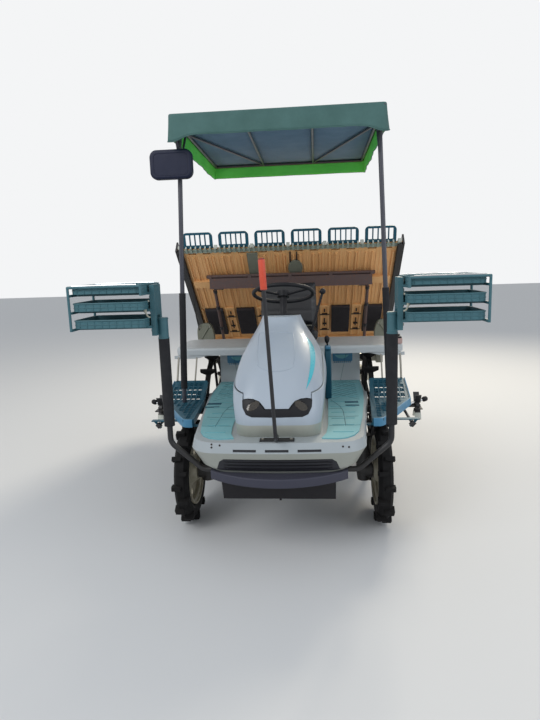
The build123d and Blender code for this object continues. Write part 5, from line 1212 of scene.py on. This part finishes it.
face_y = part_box("mirror")[0].y
panel_line = [(x, face_y + 0.0005, z) for x, z in on_mirror(0.108, 0.066, 0.026)]
piece("mirror_panel_bead", "chassis", HOUSING, [sweep(panel_line, 0.0024, 8, closed=True)])
GLASS, tree, shader = start("mirror_silvered_glass")
shader.inputs["Base Color"].default_value = linear("#b9c2c9")
shader.inputs["Metallic"].default_value = 1.0
shader.inputs["Roughness"].default_value = 0.04
glass_y = -0.6512
glass = upright_plate(on_mirror(0.126, 0.080, 0.030), glass_y, glass_y - 0.002)
piece("mirror_glass", "chassis", GLASS, [glass], bevel=0.0005, segments=1)

# %% [markdown]
# ### Deck trim
# Fine screws hold the white fascia, the grille has louvres, and the pole's foot is bolted down.

# %% Screws, louvres and pole sleeve
screws = []
fascia_tree = surface("deck_shell")
SCREW_PLACES = ((211.5, 444.5), (211.5, 447.5), (219.6, 445.5), (343.0, 446.5), (349.0, 447.0))
for px, py in SCREW_PLACES:
    point, normal = hit(fascia_tree, EYE, aim(px, py))
    if point is not None:
        screws.append(spin(head_profile(0.0055, 0.0012, 0.002, 0.0012, 0.001), point, normal, 14))
piece("fascia_screws", "chassis", SHADE, screws)
louvres = []
low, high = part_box("grille_panel")
grille_tree = surface("grille_panel")
for k in range(5):
    z = low.z + 0.022 + k * (high.z - low.z - 0.05) / 5
    line = []
    for i in range(37):
        x = -0.29 + 0.58 * i / 36
        point, normal = hit(grille_tree, (x, -2.0, z), (0, 1, 0))
        if point is not None and point.y < low.y + 0.06:
            line.append((x, point.y - 0.0006, z))
    if len(line) > 3:
        louvres.append(sweep(line, 0.0036, 6, flat=0.6))
piece("grille_louvres", "chassis", ABS_BLACK, louvres)

low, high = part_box("centre_pole")
tip = Vector((-0.042, low.y + 0.016, high.z))
foot = Vector((0.0, low.y + 0.016, 0.738))
along = (tip - foot).normalized()
sleeve = [(0.0, 0.003), (0.008, 0.002), (0.0155, -0.002), (0.0168, -0.008), (0.0168, -0.148),
          (0.0150, -0.152), (0.0, -0.152)]
piece("pole_orange_sleeve", "chassis", TIP_ORANGE, [spin(sleeve, tip, along, 28)])
foot_bolt = head_profile(0.0085, 0.005, 0.002, 0.0018)
bolts = [spin(foot_bolt, (x, -1.432, 0.706), (0, 0, 1), 6) for x in (-0.076, 0.076)]
piece("pole_foot_bolts", "chassis", ZINC, bolts)

# %% [markdown]
# ### Below the table
# The photo shows the slide rail that the table runs on, a cover plate and a round cap below the table, and
# the pipe frame's clamps. They sit on the beam and on the table's lower face.

# %% Slide rail, plates and clamps
SLIDE_HALF = 0.728
rail_ends = [sweep([(-SLIDE_HALF, 0.55, 1.531), (SLIDE_HALF, 0.55, 1.531)], 0.0155, 16)]
for x in (-0.70, -0.35, 0.0, 0.35, 0.70):
    rail_ends.append(plate((x - 0.016, 0.528, 1.513), (x + 0.016, 0.572, 1.536)))
piece("table_slide_rail", "planting", RUSTED, rail_ends, bevel=0.003)
table_tree = surface("seedling_table")


def on_table(px, py, lift):
    """Where the table's lower face shows at a place in the frame, lifted off that face."""
    return seen(table_tree, px, py) - OUT * lift


def face_plate(outline, thickness):
    """A flat plate on the table's lower face, from its corners in the frame."""
    low_points = [on_table(px, py, -0.001) for px, py in outline]
    high_points = [on_table(px, py, thickness) for px, py in outline]
    return prism(low_points, high_points)


disc = [(295.5 + 7.2 * cos(2 * pi * k / 28), 267 + 7.6 * sin(2 * pi * k / 28)) for k in range(28)]
cover = [(246.5, 252.5), (257.5, 252.0), (259.5, 277.5), (250.5, 278.0)]
PLATE_GREY = worn("enamel_grey_green_plate", "#7d8072", "#6f7265", "#6f6a58", 0.55, cloud=40, dust_share=0.3,
                  spots="#4f4434", spot_size=9, spot_share=0.36)
piece("table_cover_plates", "table", PLATE_GREY,
      [face_plate(cover, 0.013), face_plate(disc, 0.016)], bevel=0.0025)
GUIDE_BARS = ([(289.2, 251.5), (290.6, 251.5), (290.8, 262.0), (289.4, 262.0)],
              [(296.0, 251.5), (297.2, 251.5), (297.4, 261.0), (296.2, 261.0)])
piece("table_guide_bars", "table", SHADE, [face_plate(line, 0.010) for line in GUIDE_BARS],
      bevel=0.001, segments=1)
clamps = []
for side in (-1, 1):
    for z in (1.05, 1.25, 1.40):
        clamps.append(spin([(0.0142, -0.014), (0.0182, -0.012), (0.0182, 0.012), (0.0142, 0.014)],
                           (side * 0.665, 0.55 + (1.45 - z) * 0.68, z), (0, -0.68, 1.0), 20))
piece("support_clamps", "planting", ENAMEL_BLACK, clamps)

# %% [markdown]
# ### Wheel hubs
# Six hexagon bolts hold each front rim to its hub, under a domed dust cap. Each rear wheel has a cast hub
# with a ring of bolts round the axle. The bolts turn with their wheels.

# %% Wheel bolts and caps
HUB_BOLT = head_profile(0.0105, 0.0075, 0.002, 0.002, 0.002)
FRONT_FACE_X, REAR_FACE_X, CAP_X = 0.617, 0.669, 0.654


def bolt_ring(hub, out, radius, count, offset):
    """Hexagon bolts round a hub, their heads facing out."""
    ring = []
    for k in range(count):
        angle = 2 * pi * k / count + offset
        place = hub + Vector((0, radius * sin(angle), radius * cos(angle)))
        ring.append(spin(HUB_BOLT, place, (out, 0, 0), 6))
    return ring


for name, side in SIDES:
    rim_low, rim_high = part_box("front_rim_" + name)
    middle = (rim_low + rim_high) / 2
    face = Vector((side * FRONT_FACE_X, middle.y, middle.z))
    piece("front_hub_bolts_" + name, "front_wheel_" + name, ZINC,
          bolt_ring(face, side, 0.100, 6, pi / 6), bevel=0.001, segments=1)
    dome = [(0.0, 0.012), (0.014, 0.0105), (0.026, 0.007), (0.034, 0.001), (0.036, -0.001), (0.0, -0.001)]
    piece("front_hub_cap_" + name, "front_wheel_" + name, RIM_PAINT,
          [spin(dome, (side * CAP_X, middle.y, middle.z), (side, 0, 0), 32)])
    rear_low, rear_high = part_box("rear_wheel_" + name)
    middle = (rear_low + rear_high) / 2
    face = Vector((side * REAR_FACE_X, middle.y, middle.z))
    piece("rear_hub_bolts_" + name, "rear_wheel_" + name, ZINC,
          bolt_ring(face, side, 0.0385, 6, 0.0), bevel=0.001, segments=1)

# %% [markdown]
# ### Line markers
# The lock knob stands on a bright rod, and the star wheel's lower blades are pale where the soil has
# polished them.

# %% Marker rods and blades
for name, side in SIDES:
    knob = Vector((side * 0.957, -0.456, 0.667))
    foot = Vector((side * 0.804, -0.498, 0.626))
    rod = sweep([foot + (knob - foot) * t for t in (0.06, 0.3, 0.6, 0.9)], 0.0078, 12)
    piece("marker_rod_" + name, "marker_" + name, CHROME, [rod])
    cap = [(0.0, 0.022), (0.012, 0.020), (0.0175, 0.012), (0.0185, 0.0), (0.0165, -0.012), (0.010, -0.018),
           (0.0, -0.018)]
    piece("marker_knob_" + name, "marker_" + name, ABS_BLACK,
          [spin(cap, knob, knob - foot, 20)])
    blades = []
    for angle in (150, 210):
        reach = Vector((0, -sin(radians(angle)), cos(radians(angle))))
        across = Vector((0, reach.z, -reach.y))
        near, far = Vector((side * 0.905, -0.470, 0.625)) + reach * 0.052, reach * 0.0455
        verts = [tuple(near + Vector((x, 0, 0)) + across * y + far * t)
                 for x in (-0.021, 0.021) for y in (-0.0042, 0.0042) for t in (0, 1)]
        blades.append((verts, BOX_FACES))
    piece("marker_blades_" + name, "marker_" + name, NYLON_PALE, blades, bevel=0.001,
          segments=1)

# %% [markdown]
# ### The table from above
# Each lane carries fine ribs that let the mats slide, a belt at its foot, and a wire frame that holds the
# mats down. From the driver's side only the underside shows, but the top is what a visitor sees from behind.

# %% Lane ribs, belts and mat holders
UPPER = 0.0197
lane_ribs, lane_belts, holders = [], [], []
for centre in ROW_CENTRES:
    for k in range(8):
        x = centre + (k - 3.5) * 0.034
        if abs(x - centre) > 0.09:
            lane_ribs.append(slope_plate(x - 0.002, x + 0.002, 0.075, 1.245, UPPER, UPPER + 0.003))
        else:
            lane_ribs.append(slope_plate(x - 0.002, x + 0.002, 0.075, 0.770, UPPER, UPPER + 0.003))
            lane_ribs.append(slope_plate(x - 0.002, x + 0.002, 1.190, 1.245, UPPER, UPPER + 0.003))
    lane_belts.append(slope_plate(centre - 0.083, centre + 0.083, 0.782, 1.178, UPPER, UPPER + 0.004))
    down = 0.790
    while down < 1.168:
        lane_belts.append(slope_plate(centre - 0.078, centre + 0.078, down, down + 0.008, UPPER + 0.003,
                                      UPPER + 0.009))
        down += 0.024
    for dx in (-0.075, 0.0, 0.075):
        line = [(0.900, 0.062), (0.930, 0.046), (0.980, 0.036), (1.160, 0.036), (1.215, 0.042),
                (1.235, 0.052)]
        wire = [on_slope(centre + dx, d, UPPER + out) for d, out in smooth_line(line, 4)]
        holders.append(sweep(wire, 0.0024, 8))
holders.append(sweep([on_slope(x, 0.900, UPPER + 0.062) for x in (-0.9, -0.3, 0.3, 0.9)], 0.0055, 12))
for side in (-1, 1):
    leg = [on_slope(side * 0.9, 0.900, UPPER + out) for out in (0.0, 0.035, 0.062)]
    holders.append(sweep(leg, 0.0055, 12))
piece("lane_ribs", "table", OCHRE, lane_ribs, bevel=0.0008, segments=1)
piece("lane_belts", "table", BELT_BLACK, lane_belts, bevel=0.0015, segments=1)
piece("mat_holders", "table", ZINC, holders)

# %% [markdown]
# ### Around the planting beam and the fenders
# A cast housing stands on each end of the beam, just below the table, and slim stays hold the fenders over
# the rear wheels. The fenders' front edge hangs deeper toward its ends.

# %% Beam housings, feeler rod and fender stays
housing = [(0.795, 0.742), (0.845, 0.742), (0.850, 0.850), (0.912, 0.892), (0.924, 1.010), (0.896, 1.070),
           (0.812, 1.082), (0.776, 1.030), (0.762, 0.930), (0.792, 0.872)]
housing = [tuple(p) for p in smooth_line(housing + housing[:1], 3)][:-1]
rib_line = [(0.905 - 0.10 * t, 0.925, 0.905 + 0.15 * t) for t in (0.0, 0.5, 1.0)]
bodies_made = both_sides(upright_plate(housing, 0.930, 0.995)) + both_sides(sweep(rib_line, 0.007, 8))
piece("beam_housings", "planting", PLATE_GREY, bodies_made, bevel=0.007, segments=3)
screws = []
for x, z in ((0.792, 0.900), (0.900, 0.930), (0.895, 1.045), (0.800, 1.050)):
    for side in (-1, 1):
        screws.append(spin(HUB_BOLT, (side * x, 0.930, z), (0, -1, 0), 6))
piece("beam_housing_bolts", "planting", ZINC, screws)
feeler = sweep([(-0.905, 0.760, 1.310), (-0.910, 0.860, 1.150), (-0.902, 0.945, 1.000)], 0.005, 10)
piece("feeler_rod", "planting", ENAMEL_BLACK, [feeler])
stays = both_sides(sweep([(0.690, -0.176, 0.958), (0.690, -0.230, 0.872), (0.688, -0.296, 0.786)], 0.006, 10))
stays += both_sides(sweep([(0.830, -0.176, 0.958), (0.828, -0.230, 0.872), (0.822, -0.296, 0.786)], 0.0075,
                          10))
piece("fender_stays", "chassis", ZINC, stays)
low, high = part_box("rear_fenders")
SKIRT_START, SKIRT_STEPS = 0.575, 24
verts = []
for i in range(SKIRT_STEPS + 1):
    x = SKIRT_START + (high.x - 0.003 - SKIRT_START) * i / SKIRT_STEPS
    share = min(1.0, max(0.0, (x - 0.590) / 0.115))
    drop = 0.021 * share * share * (3 - 2 * share)
    for dy, z in ((0.0, low.z - drop), (0.0, low.z + 0.004), (0.0055, low.z + 0.004), (0.0055, low.z - drop)):
        verts.append((x, low.y + dy, z))
skirt = (verts, quads(SKIRT_STEPS + 1, 4, around=True) + end_caps(SKIRT_STEPS + 1, 4))
piece("fender_skirts", "chassis", ABS_BEIGE, both_sides(skirt), bevel=0.0015, segments=1)

# %% [markdown]
# ### Dash
# A dark seal runs along the lid's rear edge. Behind it the driver's panel has a gauge, a key switch and two
# rocker switches, all plain.

# %% Lid seal and driver's panel
seal = []
for i in range(25):
    x = -0.118 + 0.236 * i / 24
    point, normal = hit(lid_tree, (x, -0.746, 1.5), (0, 0, -1))
    if point is not None:
        seal.append((x, -0.744, point.z + 0.003 - 0.016 * (x / 0.118) ** 4))
piece("lid_seal", "hood", ABS_BLACK, [sweep(seal, 0.0055, 10)])
panel_up = Vector((0, 0.342, 0.94)).normalized()


def on_panel(x, along):
    """A place on the driver's panel, measured across and down its slope from its front edge."""
    return Vector((x, -0.700, 1.268)) + Vector((0, 0.110, -0.040)).normalized() * along


gauge = [(0.0, 0.004), (0.024, 0.004), (0.025, 0.009), (0.030, 0.009), (0.032, 0.003), (0.032, -0.003),
         (0.0, -0.003)]
GAUGE_X, GAUGE_ALONG = -0.058, 0.048
key = [(0.0, 0.008), (0.009, 0.008), (0.012, 0.005), (0.0135, 0.0), (0.0, -0.001)]
panel_parts = [spin(gauge, on_panel(GAUGE_X, GAUGE_ALONG), panel_up, 36),
               spin(key, on_panel(0.072, 0.062), panel_up, 24)]
piece("dash_gauge_rings", "chassis", ABS_BLACK, panel_parts)
marks = []
for k in range(9):
    angle = radians(-60 + k * 37.5)
    ends = [on_panel(GAUGE_X + radius * cos(angle), GAUGE_ALONG + radius * sin(angle)) + panel_up * 0.0045
            for radius in (0.016, 0.021)]
    marks.append(sweep(ends, 0.0007, 5))
needle = [on_panel(GAUGE_X, GAUGE_ALONG) + panel_up * 0.0055, on_panel(-0.072, 0.036) + panel_up * 0.0055]
marks.append(sweep(needle, [0.0014, 0.0005], 6))
piece("dash_gauge_marks", "chassis", NYLON_PALE, marks)
rockers = []
for x in (0.020, 0.042):
    a, b = on_panel(x, 0.036), on_panel(x, 0.060)
    rockers.append(bar(a + panel_up * 0.003, b + panel_up * 0.006, 0.015, 0.009))
piece("dash_rockers", "chassis", ABS_CHARCOAL, rockers, bevel=0.0015)

# %% Finish
bpy.context.scene.view_settings.view_transform = "Standard"
